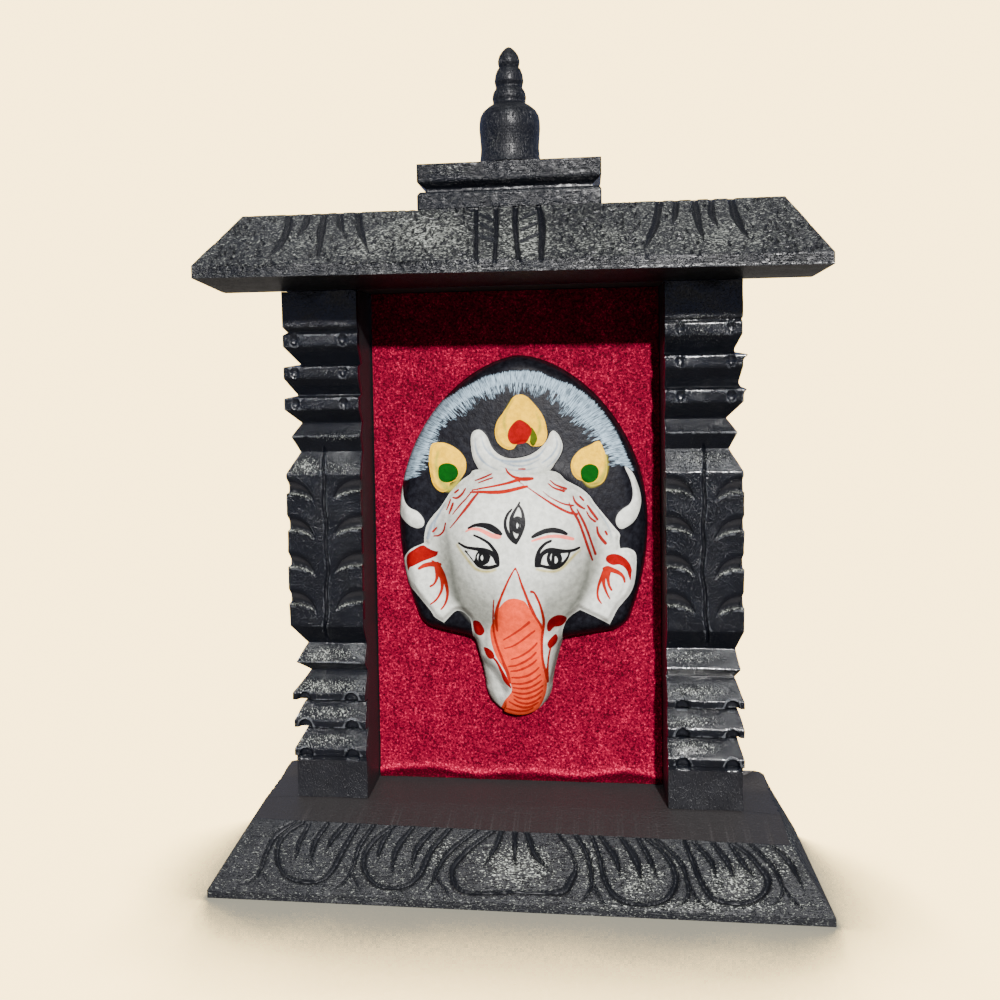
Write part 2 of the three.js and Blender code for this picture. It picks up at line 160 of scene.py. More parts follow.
def laid_grid(name, places):
    """A grid primitive whose corners are moved to the given rows of places, in millimetres."""
    rows, columns = places.shape[:2]
    bpy.ops.object.select_all(action="DESELECT")
    bpy.ops.mesh.primitive_grid_add(x_subdivisions=columns - 1, y_subdivisions=rows - 1, size=1)
    piece = bpy.context.object
    piece.name = piece.data.name = name
    piece.data.vertices.foreach_set("co", (places * MM).ravel())
    piece.data.update()
    return piece


def mark(piece, name, values):
    """Keeps one number for each corner of the mesh, for the materials to read."""
    layer = piece.data.attributes.new(name, "FLOAT", "POINT")
    layer.data.foreach_set("value", np.asarray(values, dtype=np.float32).ravel())


def close_up(piece):
    """Merges the seam of a wrapped grid, fills its open ends and turns its faces outwards."""
    edit(piece)
    bpy.ops.mesh.select_all(action="SELECT")
    bpy.ops.mesh.remove_doubles(threshold=1e-6)
    bpy.ops.mesh.select_all(action="SELECT")
    bpy.ops.mesh.fill_holes(sides=0)
    bpy.ops.mesh.select_all(action="SELECT")
    bpy.ops.mesh.normals_make_consistent(inside=False)
    leave_edit()


def hand_over(piece, node, material, angle=40):
    """Smooths a finished piece, gives it its material and puts it in its node's place."""
    bpy.ops.object.select_all(action="DESELECT")
    piece.select_set(True)
    bpy.context.view_layer.objects.active = piece
    bpy.ops.object.shade_smooth_by_angle(angle=math.radians(angle))
    piece.data.materials.clear()
    piece.data.materials.append(material)
    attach(piece, "root")
    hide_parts(node)


def finish_wood(piece, node, kind, **marks):
    """Keeps the marks of a laid piece of black wood, closes it and puts it in its node's place."""
    for name, values in marks.items():
        mark(piece, name, values)
    close_up(piece)
    hand_over(piece, node, wood(kind))


# Shape tools

def smooth_step(values, low, high):
    """A share that goes softly from 0 at low to 1 at high. Low may be the larger of the two."""
    share = np.clip((values - low) / (high - low), 0, 1)
    return share * share * (3 - 2 * share)


def ripple(places, size, seed):
    """A smooth random field from about -1 to 1, with lumps of the given size in millimetres."""
    waves, lumps_in_wave, spread = 9, 1.6, 3.4
    dice = np.random.default_rng(seed)
    total = np.zeros(places.shape[:-1])
    for _ in range(waves):
        turn = dice.normal(size=places.shape[-1])
        turn *= dice.uniform(0.6, 1.5) * 2 * math.pi / (size * lumps_in_wave * np.linalg.norm(turn))
        total += np.sin(places @ turn + dice.uniform(0, 2 * math.pi))
    return total / spread


def curve_through(points, closed=False, steps=5):
    """Places on a smooth line through the given ones. A repeated point makes a corner."""
    points = np.array(points, dtype=float)
    if closed:
        padded = np.vstack([points[-1:], points, points[:2]])
    else:
        padded = np.vstack([2 * points[0] - points[1], points, 2 * points[-1] - points[-2]])
    line = []
    for before, start, end, after in zip(padded, padded[1:], padded[2:], padded[3:]):
        for step in range(steps):
            t = step / steps
            line.append(0.5 * (2 * start + (end - before) * t
                               + (2 * before - 5 * start + 4 * end - after) * t ** 2
                               + (3 * start - before - 3 * end + after) * t ** 3))
    line.append(padded[-2])
    return np.array(line)


def soften(profile, reach, spacing):
    """Even steps along a profile whose corners are rounded over the given reach."""
    step = 0.1
    profile = np.array(profile, dtype=float)
    runs = np.concatenate([[0], np.cumsum(np.linalg.norm(np.diff(profile, axis=0), axis=1))])
    fine = np.linspace(0, runs[-1], int(runs[-1] / step) + 1)
    line = np.stack([np.interp(fine, runs, profile[:, axis]) for axis in range(profile.shape[1])], 1)
    width = max(3, int(reach / step) | 1)
    padded = np.pad(line, ((width // 2, width // 2), (0, 0)), mode="edge")
    rounded = np.stack([np.convolve(padded[:, axis], np.ones(width) / width, "valid")
                        for axis in range(profile.shape[1])], 1)
    rounded[0], rounded[-1] = profile[0], profile[-1]
    picks = np.linspace(0, len(rounded) - 1, int(runs[-1] / spacing) + 1).round().astype(int)
    return rounded[picks]


def section(corners, shares, height):
    """Places round a level section, at the given shares of the way along each of its sides."""
    sides = [np.array(start) + share[:, None] * (np.array(end) - np.array(start))
             for share, start, end in zip(shares, corners, corners[1:])]
    return np.column_stack([np.vstack(sides), np.full(sum(map(len, sides)), height)])


def eased(places):
    """A laid grid's places, each drawn half-way to its neighbours in the row."""
    smoothed = places.copy()
    smoothed[:, 1:-1] = (places[:, :-2] + 2 * places[:, 1:-1] + places[:, 2:]) / 4
    return smoothed


def worn_edges(places):
    """How sharply each place of a laid grid stands proud of its neighbours, and how deep it lies, from 0 to 1."""
    reach, fully_worn, fully_sunk = 3, 0.35, 0.5
    padded = np.pad(places, ((reach, reach), (reach, reach), (0, 0)), mode="edge")
    rows, columns = places.shape[:2]

    def neighbour(down, across):
        return padded[reach + down:reach + down + rows, reach + across:reach + across + columns]

    mean = (neighbour(-reach, 0) + neighbour(reach, 0) + neighbour(0, -reach) + neighbour(0, reach)) / 4
    normal = np.cross(neighbour(0, 1) - neighbour(0, -1), neighbour(1, 0) - neighbour(-1, 0))
    normal /= np.maximum(np.linalg.norm(normal, axis=-1, keepdims=True), 1e-9)
    proud = ((places - mean) * normal).sum(-1)
    # Proud places get rubbed wear with a painted highlight, and sunk places get painted shade.
    return np.clip(proud / fully_worn, 0, 1), np.clip(-proud / fully_sunk, 0, 1)


def soft_patches(places, patches):
    """How strong an effect is, from 0 to 1, in soft patches of (across, down, half width, half height, much).

    A patch lies where it is seen in the photograph, in its pixels.
    """
    spots = in_photo(places)
    strength = np.zeros(places.shape[:-1])
    for across, down, half_width, half_height, much in patches:
        far = ((spots[..., 0] - across) / half_width) ** 2 + ((spots[..., 1] - down) / half_height) ** 2
        strength = np.maximum(strength, much * np.exp(-far))
    return strength


# The photograph's view

def camera_axes():
    """The camera's right, up and forward directions."""
    forward = np.array([math.sin(CAMERA_TURN) * math.cos(CAMERA_TILT),
                        math.cos(CAMERA_TURN) * math.cos(CAMERA_TILT), math.sin(CAMERA_TILT)])
    level = np.array([math.cos(CAMERA_TURN), -math.sin(CAMERA_TURN), 0])
    upright = np.cross(level, forward)
    right = math.cos(CAMERA_ROLL) * level + math.sin(CAMERA_ROLL) * upright
    up = math.cos(CAMERA_ROLL) * upright - math.sin(CAMERA_ROLL) * level
    return right, up, forward


def in_photo(places):
    """Where places in millimetres are seen in the photograph, in its pixels."""
    right, up, forward = camera_axes()
    offset = places - CAMERA_PLACE
    scale = FOCAL / (offset @ forward)
    return np.stack([OPTICAL_CENTRE[0] + scale * (offset @ right),
                     OPTICAL_CENTRE[1] - scale * (offset @ up)], -1)


def beside_line(spots, line, field):
    """Lowers a field to the distance from the side of a tapered line, whose third column is its width."""
    reach = FAR + line[:, 2].max() / 2
    inside = ((spots > line[:, :2].min(0) - reach) & (spots < line[:, :2].max(0) + reach)).all(-1)
    near = np.nonzero(inside)
    spot = spots[near]
    best = field[near]
    for start, end in zip(line, line[1:]):
        run = end[:2] - start[:2]
        length = run @ run
        if length < 1e-9:
            continue
        share = np.clip((spot - start[:2]) @ run / length, 0, 1)
        away = np.linalg.norm(spot - start[:2] - share[:, None] * run, axis=1)
        best = np.minimum(best, away - (start[2] + (end[2] - start[2]) * share) / 2)
    field[near] = best


def strokes_field(spots, strokes, steps=5):
    """How far outside the nearest of some brush strokes each spot lies. Inside it is below 0."""
    field = np.full(spots.shape[:-1], FAR)
    for stroke in strokes:
        beside_line(spots, curve_through(stroke, steps=steps), field)
    return field


def to_outline(spots, outline):
    """How far inside a closed line each spot lies, below 0 outside it, and the nearest place on the line."""
    best = np.full(len(spots), 1e9)
    nearest = np.zeros_like(spots)
    crossings = np.zeros(len(spots), dtype=int)
    for start, end in zip(outline, np.roll(outline, -1, axis=0)):
        run = end - start
        length = run @ run
        if length < 1e-9:
            continue
        share = np.clip((spots - start) @ run / length, 0, 1)
        touch = start + share[:, None] * run
        away = np.linalg.norm(spots - touch, axis=1)
        closer = away < best
        best = np.where(closer, away, best)
        nearest = np.where(closer[:, None], touch, nearest)
        spans = (start[1] > spots[:, 1]) != (end[1] > spots[:, 1])
        if run[1]:
            crossings += spans & (spots[:, 0] < start[0] + (spots[:, 1] - start[1]) * run[0] / run[1])
    return np.where(crossings % 2 == 1, best, -best), nearest


def patches_field(spots, patches):
    """How far outside the nearest of some closed outlines each spot lies. Inside it is below 0."""
    field = np.full(spots.shape[:-1], FAR)
    for patch in patches:
        outline = curve_through(patch, closed=True)
        near = np.nonzero(((spots > outline.min(0) - FAR) & (spots < outline.max(0) + FAR)).all(-1))
        inside, _ = to_outline(spots[near], outline)
        field[near] = np.minimum(field[near], -inside)
    return np.maximum(field, -FAR)


def gouged(spots, cuts, pixel, share):
    """The depth of V gouges along cuts drawn in pixels of the given size on the wood, as a share of their width."""
    depth = np.zeros(spots.shape[:-1])
    for cut in cuts:
        field = np.full(spots.shape[:-1], FAR)
        beside_line(spots, curve_through(cut), field)
        widest = max(width for _, _, width in cut)
        depth = np.maximum(depth, np.clip(-field * pixel, 0, widest * pixel / 2) * 2 * share)
    return depth


# Materials

def feed(tree, socket, value):
    """Links a socket to another, or sets it to a plain value."""
    if isinstance(value, bpy.types.NodeSocket):
        tree.links.new(value, socket)
    else:
        socket.default_value = value


def add_node(tree, kind, settings=None, **inputs):
    """Adds a shader node. Inputs go by name, with underscores for spaces, or by number, as i0, i1 and so on."""
    made = tree.nodes.new("ShaderNode" + kind)
    for name, value in (settings or {}).items():
        setattr(made, name, value)
    for name, value in inputs.items():
        numbered = name[0] == "i" and name[1:].isdigit()
        feed(tree, made.inputs[int(name[1:]) if numbered else name.replace("_", " ")], value)
    return made


def noise(tree, vector, scale, detail=4.0, roughness=0.55):
    """A noise texture's value. Its scale is in lumps a metre."""
    return add_node(tree, "TexNoise", Vector=vector, Scale=scale, Detail=detail, Roughness=roughness).outputs["Fac"]


def maths(tree, operation, first, second=0.0, third=0.0):
    """The result of a Math node."""
    return add_node(tree, "Math", {"operation": operation}, i0=first, i1=second, i2=third).outputs[0]


def ramp(tree, value, low, high, out_low=0.0, out_high=1.0):
    """A value taken softly from one range to another."""
    return add_node(tree, "MapRange", {"interpolation_type": "SMOOTHSTEP"}, Value=value, From_Min=low,
                    From_Max=high, To_Min=out_low, To_Max=out_high).outputs["Result"]


def blend(tree, share, first, second, kind="MIX"):
    """Two colours laid over each other: the second covers the first by the given share."""
    return add_node(tree, "Mix", {"data_type": "RGBA", "blend_type": kind}, i0=share, i6=first, i7=second).outputs[2]


def colour(value, share=1.0):
    """A colour with its alpha, lighter or darker by a factor."""
    return (*[channel * share for channel in value], 1)


def read_mark(tree, name):
    """One of the numbers that were kept for each corner of the mesh."""
    return add_node(tree, "Attribute", {"attribute_name": name}).outputs["Fac"]


def new_group(name, vectors_in, values_out):
    """A shader node group with named vector inputs and value outputs."""
    tree = bpy.data.node_groups.new(name, "ShaderNodeTree")
    for label in vectors_in:
        tree.interface.new_socket(name=label, in_out="INPUT", socket_type="NodeSocketVector")
    for label in values_out:
        tree.interface.new_socket(name=label, in_out="OUTPUT", socket_type="NodeSocketFloat")
    return tree, tree.nodes.new("NodeGroupInput"), tree.nodes.new("NodeGroupOutput")


# Noise scales of the wood's marks, and how far its dry-brushed specks and painted glints are drawn out along the grain.
PORES, FINE_PORES, SPECKS, LUMPS, PITS, CLOUDS, RUBS = 1500.0, 3000.0, 2000.0, 480.0, 520.0, 90.0, 210.0
DRAWN_OUT = 0.62


def grain_group():
    """Open pores drawn out along the grain, dry-brushed speckle and painted glints, pits, and soft cloudy patches in
    the finish.
    """
    tree, given, result = new_group("wood_grain", ["Grain"], ["Height", "Speckle", "Clouds", "Pits", "Rubs"])
    place = add_node(tree, "TexCoord").outputs["Object"]
    grain = given.outputs["Grain"]
    stretched = add_node(tree, "VectorMath", {"operation": "MULTIPLY"}, i0=place, i1=grain).outputs[0]
    drawn = add_node(tree, "Mix", {"data_type": "VECTOR"}, i0=DRAWN_OUT, i4=place, i5=stretched).outputs[1]
    pores = noise(tree, stretched, PORES, 2.0, 0.5)
    fine = noise(tree, stretched, FINE_PORES, 2.0, 0.5)
    speckle = noise(tree, drawn, SPECKS, 2.0, 0.6)
    lumps = noise(tree, place, LUMPS, 2.0, 0.5)
    pits = noise(tree, place, PITS, 3.0, 0.65)
    clouds = noise(tree, place, CLOUDS, 4.0, 0.6)
    open_pores = maths(tree, "MULTIPLY_ADD", ramp(tree, pores, 0.3, 0.46), 0.6,
                       maths(tree, "MULTIPLY", ramp(tree, fine, 0.3, 0.45), 0.25))
    height = maths(tree, "MULTIPLY_ADD", ramp(tree, speckle, 0.5, 0.62), 0.5, open_pores)
    brushed = maths(tree, "MULTIPLY_ADD", lumps, 0.3, maths(tree, "ADD", speckle, -0.15))
    tree.links.new(height, result.inputs["Height"])
    tree.links.new(brushed, result.inputs["Speckle"])
    tree.links.new(ramp(tree, clouds, 0.35, 0.65), result.inputs["Clouds"])
    tree.links.new(ramp(tree, pits, 0.5, 0.42), result.inputs["Pits"])
    rubs = maths(tree, "MULTIPLY", ramp(tree, noise(tree, place, RUBS, 3.0, 0.6), 0.42, 0.62), height)
    tree.links.new(rubs, result.inputs["Rubs"])
    return tree


def use_group(tree, group, **inputs):
    """Places a node group in a material, with its own values."""
    made = tree.nodes.new("ShaderNodeGroup")
    made.node_tree = group
    for name, value in inputs.items():
        made.inputs[name.replace("_", " ")].default_value = value
    return made.outputs


def new_material(name):
    """An empty material, its node tree, and its surface shader."""
    material = bpy.data.materials.new(name)
    material.use_nodes = True
    tree = material.node_tree
    return material, tree, tree.nodes["Principled BSDF"]


def give_relief(tree, shader, strength, distance, height):
    """Feeds the surface's normal from a height that changes over it."""
    bump = add_node(tree, "Bump", Strength=strength, Distance=distance, Height=height)
    tree.links.new(bump.outputs["Normal"], shader.inputs["Normal"])


DRY_PAINT = (0.52, 0.55, 0.5)               # the silvery specks that a dry brush left, laid also as painted sheen and glints
SCUFFED = (0.017, 0.018, 0.0175, 1)         # and the thin film between them
DUST = (0.021, 0.0185, 0.0185, 1)


def black_wood(name, group, grain, rough, relief, sheen):
    """Black paint on open-pored wood: painted highlights on rubbed edges, dry-brushed specks with painted sheen, dull
    with dust.
    """
    look = bpy.context.scene.shrine
    material, tree, shader = new_material(name)
    effect = use_group(tree, group, Grain=grain)
    dry, dust = read_mark(tree, "dry"), read_mark(tree, "dust")
    pitted = maths(tree, "MULTIPLY", read_mark(tree, "pitted"), effect["Pits"])
    sunk = read_mark(tree, "sunk")
    # Rubbed edges: wear, and a painted highlight along the edges that stand proud.
    rubbed = maths(tree, "MULTIPLY", ramp(tree, read_mark(tree, "worn"), 0.5, 1.1), effect["Rubs"])
    base = blend(tree, effect["Clouds"], colour(look.wood_colour), colour(look.wood_colour, 1.4))
    # A dull, lighter film: dust, and painted light where it lies in the posts' fish-scale hollows.
    base = blend(tree, maths(tree, "MULTIPLY", dust, 0.9), base, DUST)
    base = blend(tree, maths(tree, "MULTIPLY", rubbed, 0.85), base, colour(look.worn_colour))
    # Dry-brushed silvery specks and their film, laid in patches where the wood shows its sheen: painted sheen and
    # glints.
    base = blend(tree, maths(tree, "MULTIPLY", dry, dry), base, SCUFFED)
    specks = ramp(tree, maths(tree, "MULTIPLY_ADD", dry, 0.17, effect["Speckle"]), 0.62, 0.69)
    paint = blend(tree, dry, colour(DRY_PAINT, 0.2), colour(DRY_PAINT))
    base = blend(tree, maths(tree, "MULTIPLY", specks, ramp(tree, dry, 0.02, 0.25)), base, paint)
    # Cuts, hollows and pits keep the plain black paint; in the cuts and hollows this is painted shade.
    base = blend(tree, maths(tree, "MAXIMUM", sunk, pitted), base, colour(look.wood_colour, 1.3))
    tree.links.new(base, shader.inputs["Base Color"])
    gloss = ramp(tree, effect["Clouds"], 0.0, 1.0, rough + 0.03, rough - 0.02)
    matt = maths(tree, "MULTIPLY", maths(tree, "MAXIMUM", dry, ramp(tree, dust, 0.0, 0.3)), 0.58)
    tree.links.new(maths(tree, "MAXIMUM", matt, gloss), shader.inputs["Roughness"])
    shader.inputs["Specular IOR Level"].default_value = sheen
    height = maths(tree, "MULTIPLY", effect["Height"], maths(tree, "MULTIPLY_ADD", dry, 2.2, 0.4))
    height = maths(tree, "MULTIPLY", height, maths(tree, "MULTIPLY_ADD", sunk, -0.8, 1.0))
    height = maths(tree, "MULTIPLY_ADD", pitted, -1.6, height)
    give_relief(tree, shader, 1.0, relief, height)
    return material


def stained_board():
    """Plain board, thinly stained black."""
    material, tree, shader = new_material("stained board")
    place = add_node(tree, "TexCoord").outputs["Object"]
    streaks = noise(tree, place, 300.0)
    base = blend(tree, ramp(tree, streaks, 0.3, 0.7), (0.004, 0.0035, 0.0035, 1), (0.009, 0.008, 0.008, 1))
    tree.links.new(base, shader.inputs["Base Color"])
    shader.inputs["Roughness"].default_value = 0.75
    return material


def velvet_cloth():
    """Crushed crimson velvet: a bright pile that catches the light in small specks."""
    look = bpy.context.scene.shrine
    material, tree, shader = new_material("crimson velvet")
    place = add_node(tree, "TexCoord").outputs["Object"]
    pile = noise(tree, place, 1050.0, 3.0, 0.75)
    crush = noise(tree, place, 85.0, 4.0, 0.6)
    nap = read_mark(tree, "nap")
    # The glints in the pile are painted highlights; on the hem the fold's ridge gets a painted highlight and the roll
    # below painted shade.
    lit = maths(tree, "MULTIPLY_ADD", nap, 0.16, pile)
    lit = maths(tree, "ADD", maths(tree, "MULTIPLY_ADD", crush, 0.2, -0.1), lit)
    base = blend(tree, ramp(tree, lit, 0.34, 0.6), colour(look.velvet_colour, 0.22), colour(look.velvet_colour, 1.25))
    glints = ramp(tree, lit, 0.58, 0.7)
    base = blend(tree, glints, base, (0.55, 0.01, 0.06, 1))
    tree.links.new(base, shader.inputs["Base Color"])
    shader.inputs["Roughness"].default_value = 0.7
    shader.inputs["Specular IOR Level"].default_value = 0.03
    give_relief(tree, shader, 0.7, 0.0006, pile)
    return material


# The colours of the mask's paints, in the order in which they are laid over one another.
PAINTS = {
    "gesso": None,
    "silver": (0.22, 0.3, 0.37),
    # bluish streaks on the crescent, and bluish painted shade beside the head
    "frost": (0.3, 0.36, 0.43),
    "straw": (0.86, 0.48, 0.001),
    # painted shade along the teardrops' rims
    "ochre": (0.36, 0.31, 0.03),
    "sage": (0.46, 0.385, 0.115),
    # painted shade beside the face, under the cheeks, beside the crown and in the trunk's curl
    "shade": (0.26, 0.27, 0.245),
    "coral": (0.76, 0.065, 0.019),
    "pink": (0.95, 0.2, 0.15),
    "green": (0.0001, 0.05, 0.0018),
    "olive": (0.054, 0.077, 0.003),
    "scarlet": (0.23, 0.0001, 0.0012),
    "rust": (0.33, 0.0105, 0.003),
    "brown": (0.29, 0.014, 0.01),
    "ink": (0.006, 0.006, 0.007),
    "glint": (0.68, 0.7, 0.68),
}
# How far each paint spreads past its marks, and how soft its edge is, in the photograph's pixels.
SPREAD = {"ink": 0.85, "scarlet": 0.5, "rust": 0.5, "glint": 0.15}
USUAL_SPREAD = 0.4
SOFT = {"silver": 1.1, "ochre": 3.0, "sage": 2.0, "shade": 6.0, "frost": 1.0}
USUAL_SOFT = 0.35
GREY_WASH = (0.36, 0.36, 0.34, 1)


def mask_paint():
    """Poster paints laid over one another, each up to its own brushed edge, on black paint, with painted shade over
    them.
    """
    look = bpy.context.scene.shrine
    material, tree, shader = new_material("mask paint")
    place = add_node(tree, "TexCoord").outputs["Object"]
    fray = noise(tree, place, 1400.0, 3.0, 0.6)
    streak = noise(tree, place, 420.0, 4.0, 0.6)
    around = add_node(tree, "CombineXYZ", X=read_mark(tree, "turn"), Y=read_mark(tree, "reach"))
    hair = noise(tree, around.outputs["Vector"], 0.85, 4.0, 0.65)
    base = blend(tree, ramp(tree, streak, 0.35, 0.7), (0.003, 0.0028, 0.0045, 1), (0.0085, 0.009, 0.0125, 1))
    for name, tint in PAINTS.items():
        tint = look.gesso_colour if tint is None else tint
        edge = maths(tree, "ADD", read_mark(tree, name), -SPREAD.get(name, USUAL_SPREAD))
        edge = maths(tree, "MULTIPLY_ADD", fray, 0.5, edge)
        tone = blend(tree, ramp(tree, streak, 0.3, 0.7), colour(tint, 0.76), colour(tint, 1.06))
        soft = SOFT.get(name, USUAL_SOFT)
        if name == "silver":
            edge = maths(tree, "MULTIPLY_ADD", hair, 9.0, maths(tree, "ADD", edge, -4.2))
            tone = blend(tree, ramp(tree, hair, 0.38, 0.66), colour(tint, 1.4), colour(tint, 0.3))
        base = blend(tree, ramp(tree, edge, -soft, soft * 0.6, 1.0, 0.0), base, tone)
    # Painted shade, multiplied over all the paints.
    base = blend(tree, read_mark(tree, "wash"), base, GREY_WASH, "MULTIPLY")
    tree.links.new(base, shader.inputs["Base Color"])
    brightness = add_node(tree, "RGBToBW", Color=base).outputs["Val"]
    tree.links.new(ramp(tree, brightness, 0.01, 0.03, 0.42, 0.85), shader.inputs["Roughness"])
    shader.inputs["Specular IOR Level"].default_value = 0.08
    give_relief(tree, shader, 0.5, 0.0004, maths(tree, "MULTIPLY_ADD", fray, 0.3, streak))
    return material


# Each kind of wooden piece: its material, how its grain is drawn out, its roughness, relief and sheen.
WOOD_KINDS = {
    "roof": ("black_wood_of_the_roof", (0.16, 1.0, 1.0), 0.32, 0.0004, 0.38),
    "base": ("black_wood_of_the_base", (0.16, 1.0, 1.0), 0.5, 0.0004, 0.33),
    "slab": ("black_wood_of_the_slabs", (0.08, 1.0, 1.0), 0.25, 0.0004, 0.23),
    "post": ("black_wood_of_the_posts", (1.0, 1.0, 0.2), 0.17, 0.00026, 0.35),
    "turned": ("black_turned_wood", (1.0, 1.0, 0.1), 0.34, 0.0005, 0.22),
}


def wood(kind):
    """The finish of one kind of wooden piece. The grain is made once, and the two posts share their finish."""
    name, *finish = WOOD_KINDS[kind]
    grain = bpy.data.node_groups.get("wood_grain") or grain_group()
    return bpy.data.materials.get(name) or black_wood(name, grain, *finish)


# The base. Each cut is a list of (across, down, width) in the photograph's pixels, drawn from its top.
BASE_CUTS = [
    # The petals' outlines, from the left.
    [(303, 822, 5), (286, 833, 6), (277, 849, 6), (279, 866, 6), (290, 878, 6), (307, 882, 6), (323, 879, 6),
     (334, 867, 7), (344, 848, 7), (358, 825, 5)],
    [(397, 823, 5), (374, 840, 7), (364, 857, 7), (365, 872, 7), (376, 884, 6), (392, 888, 6), (409, 884, 6),
     (421, 872, 8), (431, 851, 8), (450, 828, 6)],
    [(494, 830, 5), (468, 850, 7), (453, 868, 8), (454, 884, 7), (466, 892, 5), (490, 893, 5), (520, 892, 5),
     (545, 893, 6), (564, 891, 9), (571, 880, 9), (576, 868, 5), (570, 850, 4), (557, 832, 4)],
    [(590, 832, 5), (599, 856, 7), (604, 878, 7), (614, 895, 7), (631, 903, 7), (650, 904, 7), (668, 897, 8),
     (676, 881, 8), (672, 865, 7), (662, 851, 6), (646, 838, 5)],
    [(684, 840, 5), (693, 862, 7), (702, 883, 7), (713, 898, 7), (731, 903, 7), (750, 902, 7), (764, 893, 8),
     (768, 880, 9), (760, 867, 7), (746, 852, 6), (730, 842, 5)],
    # The lines between the petals, which fork at the foot.
    [(295, 822, 4), (276, 835, 7), (266, 853, 6), (260, 870, 5), (252, 880, 3), (237, 884, 0.6)],
    [(262, 872, 3), (267, 880, 2.5), (272, 888, 0.6)],
    [(374, 824, 5), (359, 847, 6), (353, 866, 5), (345, 881, 4), (331, 890, 0.6)],
    [(352, 872, 3), (357, 884, 2.5), (362, 893, 0.6)],
    [(479, 828, 4), (449, 852, 7), (437, 870, 6), (432, 882, 4), (423, 891, 0.6)],
    [(436, 876, 4), (444, 888, 3), (453, 900, 0.6)],
    [(574, 832, 5), (586, 852, 7), (591, 872, 7), (590, 890, 5), (576, 907, 0.6)],
    [(592, 878, 4), (598, 894, 4), (608, 908, 0.6)],
    [(655, 838, 4), (679, 860, 6), (687, 880, 6), (688, 896, 5), (674, 908, 0.6)],
    [(690, 886, 4), (698, 900, 3.5), (709, 908, 0.6)],
    [(748, 842, 4), (771, 864, 6), (781, 882, 5), (782, 895, 4), (770, 908, 0.6)],
    [(784, 888, 4), (794, 901, 3.5), (806, 911, 0.6)],
    # The flutes inside the petals.
    [(309, 824, 4), (299, 843, 6), (295, 861, 0.6)],
    [(327, 824, 5), (314, 844, 7), (310, 868, 0.6)],
    [(345, 824, 5), (333, 838, 7), (325, 852, 0.6)],
    [(392, 827, 4), (381, 845, 7), (377, 863, 0.6)],
    [(413, 827, 5), (396, 850, 8), (391, 877, 0.6)],
    [(436, 827, 5), (417, 848, 8), (411, 871, 0.6)],
    [(502, 830, 6), (495, 848, 7), (483, 867, 0.6)],
    [(515, 830, 6), (515, 852, 6), (515, 873, 0.6)],
    [(526, 830, 6), (535, 854, 8), (551, 872, 0.6)],
    [(600, 836, 5), (615, 857, 8), (621, 879, 0.6)],
    [(620, 836, 5), (636, 860, 9), (643, 888, 0.6)],
    [(638, 838, 5), (650, 860, 7), (658, 879, 0.6)],
    [(694, 842, 5), (711, 861, 7), (717, 879, 0.6)],
    [(713, 843, 5), (728, 863, 8), (736, 884, 0.6)],
    [(731, 845, 5), (744, 864, 7), (757, 880, 0.6)],
    [(771, 844, 4), (790, 863, 8), (805, 891, 0.6)],
]


# Patches of dry-brushed specks and painted sheen on the base.
BASE_DRY = [(515, 865, 900, 300, 0.16), (515, 866, 40, 22, 0.7), (440, 850, 12, 20, 0.45), (590, 862, 14, 26, 0.48),
            (640, 880, 26, 20, 0.54), (735, 880, 28, 22, 0.57), (690, 905, 130, 7, 0.5), (780, 850, 20, 30, 0.42)]


def base_front_top(x):
    """The height of the slope's upper edge, which dips to the right."""
    share = (x + BASE_HALF) / (2 * BASE_HALF)
    return BASE_FRONT_LEFT + (BASE_FRONT_RIGHT - BASE_FRONT_LEFT) * share


def side_petals(along, up, top):
    """The depth of the plainer carving on a side slope: two petals and the line between them."""
    cuts = []
    for middle in (-17, 17):
        half = 11.5
        arms = [(middle - half + 5, top, 3), (middle - half, top * 0.5, 3), (middle - half * 0.7, top * 0.22, 3),
                (middle, top * 0.15, 3), (middle + half * 0.7, top * 0.22, 3), (middle + half, top * 0.5, 3),
                (middle + half + 5, top, 3)]
        cuts.append(arms)
        for share in (-0.5, 0, 0.5):
            tip = middle + half * share
            cuts.append([(tip + 5, top, 3), (tip, top * 0.7, 3.4), (tip, top * 0.38, 0.4)])
    cuts.append([(5, top, 2.6), (0, top * 0.55, 2.6), (0, top * 0.26, 2.2), (-8, top * 0.08, 0.4)])
    cuts.append([(0, top * 0.26, 2), (6.5, top * 0.06, 0.4)])
    return gouged(np.stack([along, up], -1), cuts, 1.0, bpy.context.scene.shrine.cut_depth)


def base_places():
    """Rows of places up the base's lip and slopes, and in over its top, each row from back to back."""
    heights = np.concatenate([np.linspace(0, BASE_LIP, 6)[:-1], np.linspace(BASE_LIP, BASE_TOP, 64)])
    side = np.linspace(0, 1, 90)
    front = np.linspace(-1, 1, 621)
    rows = []
    for height in heights:
        up = max(height - BASE_LIP, 0)
        half = BASE_HALF - up * BASE_SIDE_SLOPE
        x = front * half
        front_share = up / (BASE_TOP - BASE_LIP)
        front_height = np.where(height > BASE_LIP, BASE_LIP + front_share * (base_front_top(x) - BASE_LIP), height)
        front_y = BASE_FRONT + np.maximum(front_height - BASE_LIP, 0) * BASE_FRONT_SLOPE
        left_y = BACK + (front_y[0] - BACK) * side
        right_y = BACK + (front_y[-1] - BACK) * side[::-1]
        left_z = height + (front_height[0] - height) * smooth_step(side, 0.6, 1)
        right_z = height + (front_height[-1] - height) * smooth_step(side[::-1], 0.6, 1)
        left = np.stack([np.full_like(side, -half), left_y, left_z], -1)
        right = np.stack([np.full_like(side, half), right_y, right_z], -1)
        middle = np.stack([x, front_y, front_height], -1)
        rows.append(np.vstack([left[:-1], middle, right[1:], left[:1]]))
    return np.array(rows), len(side)


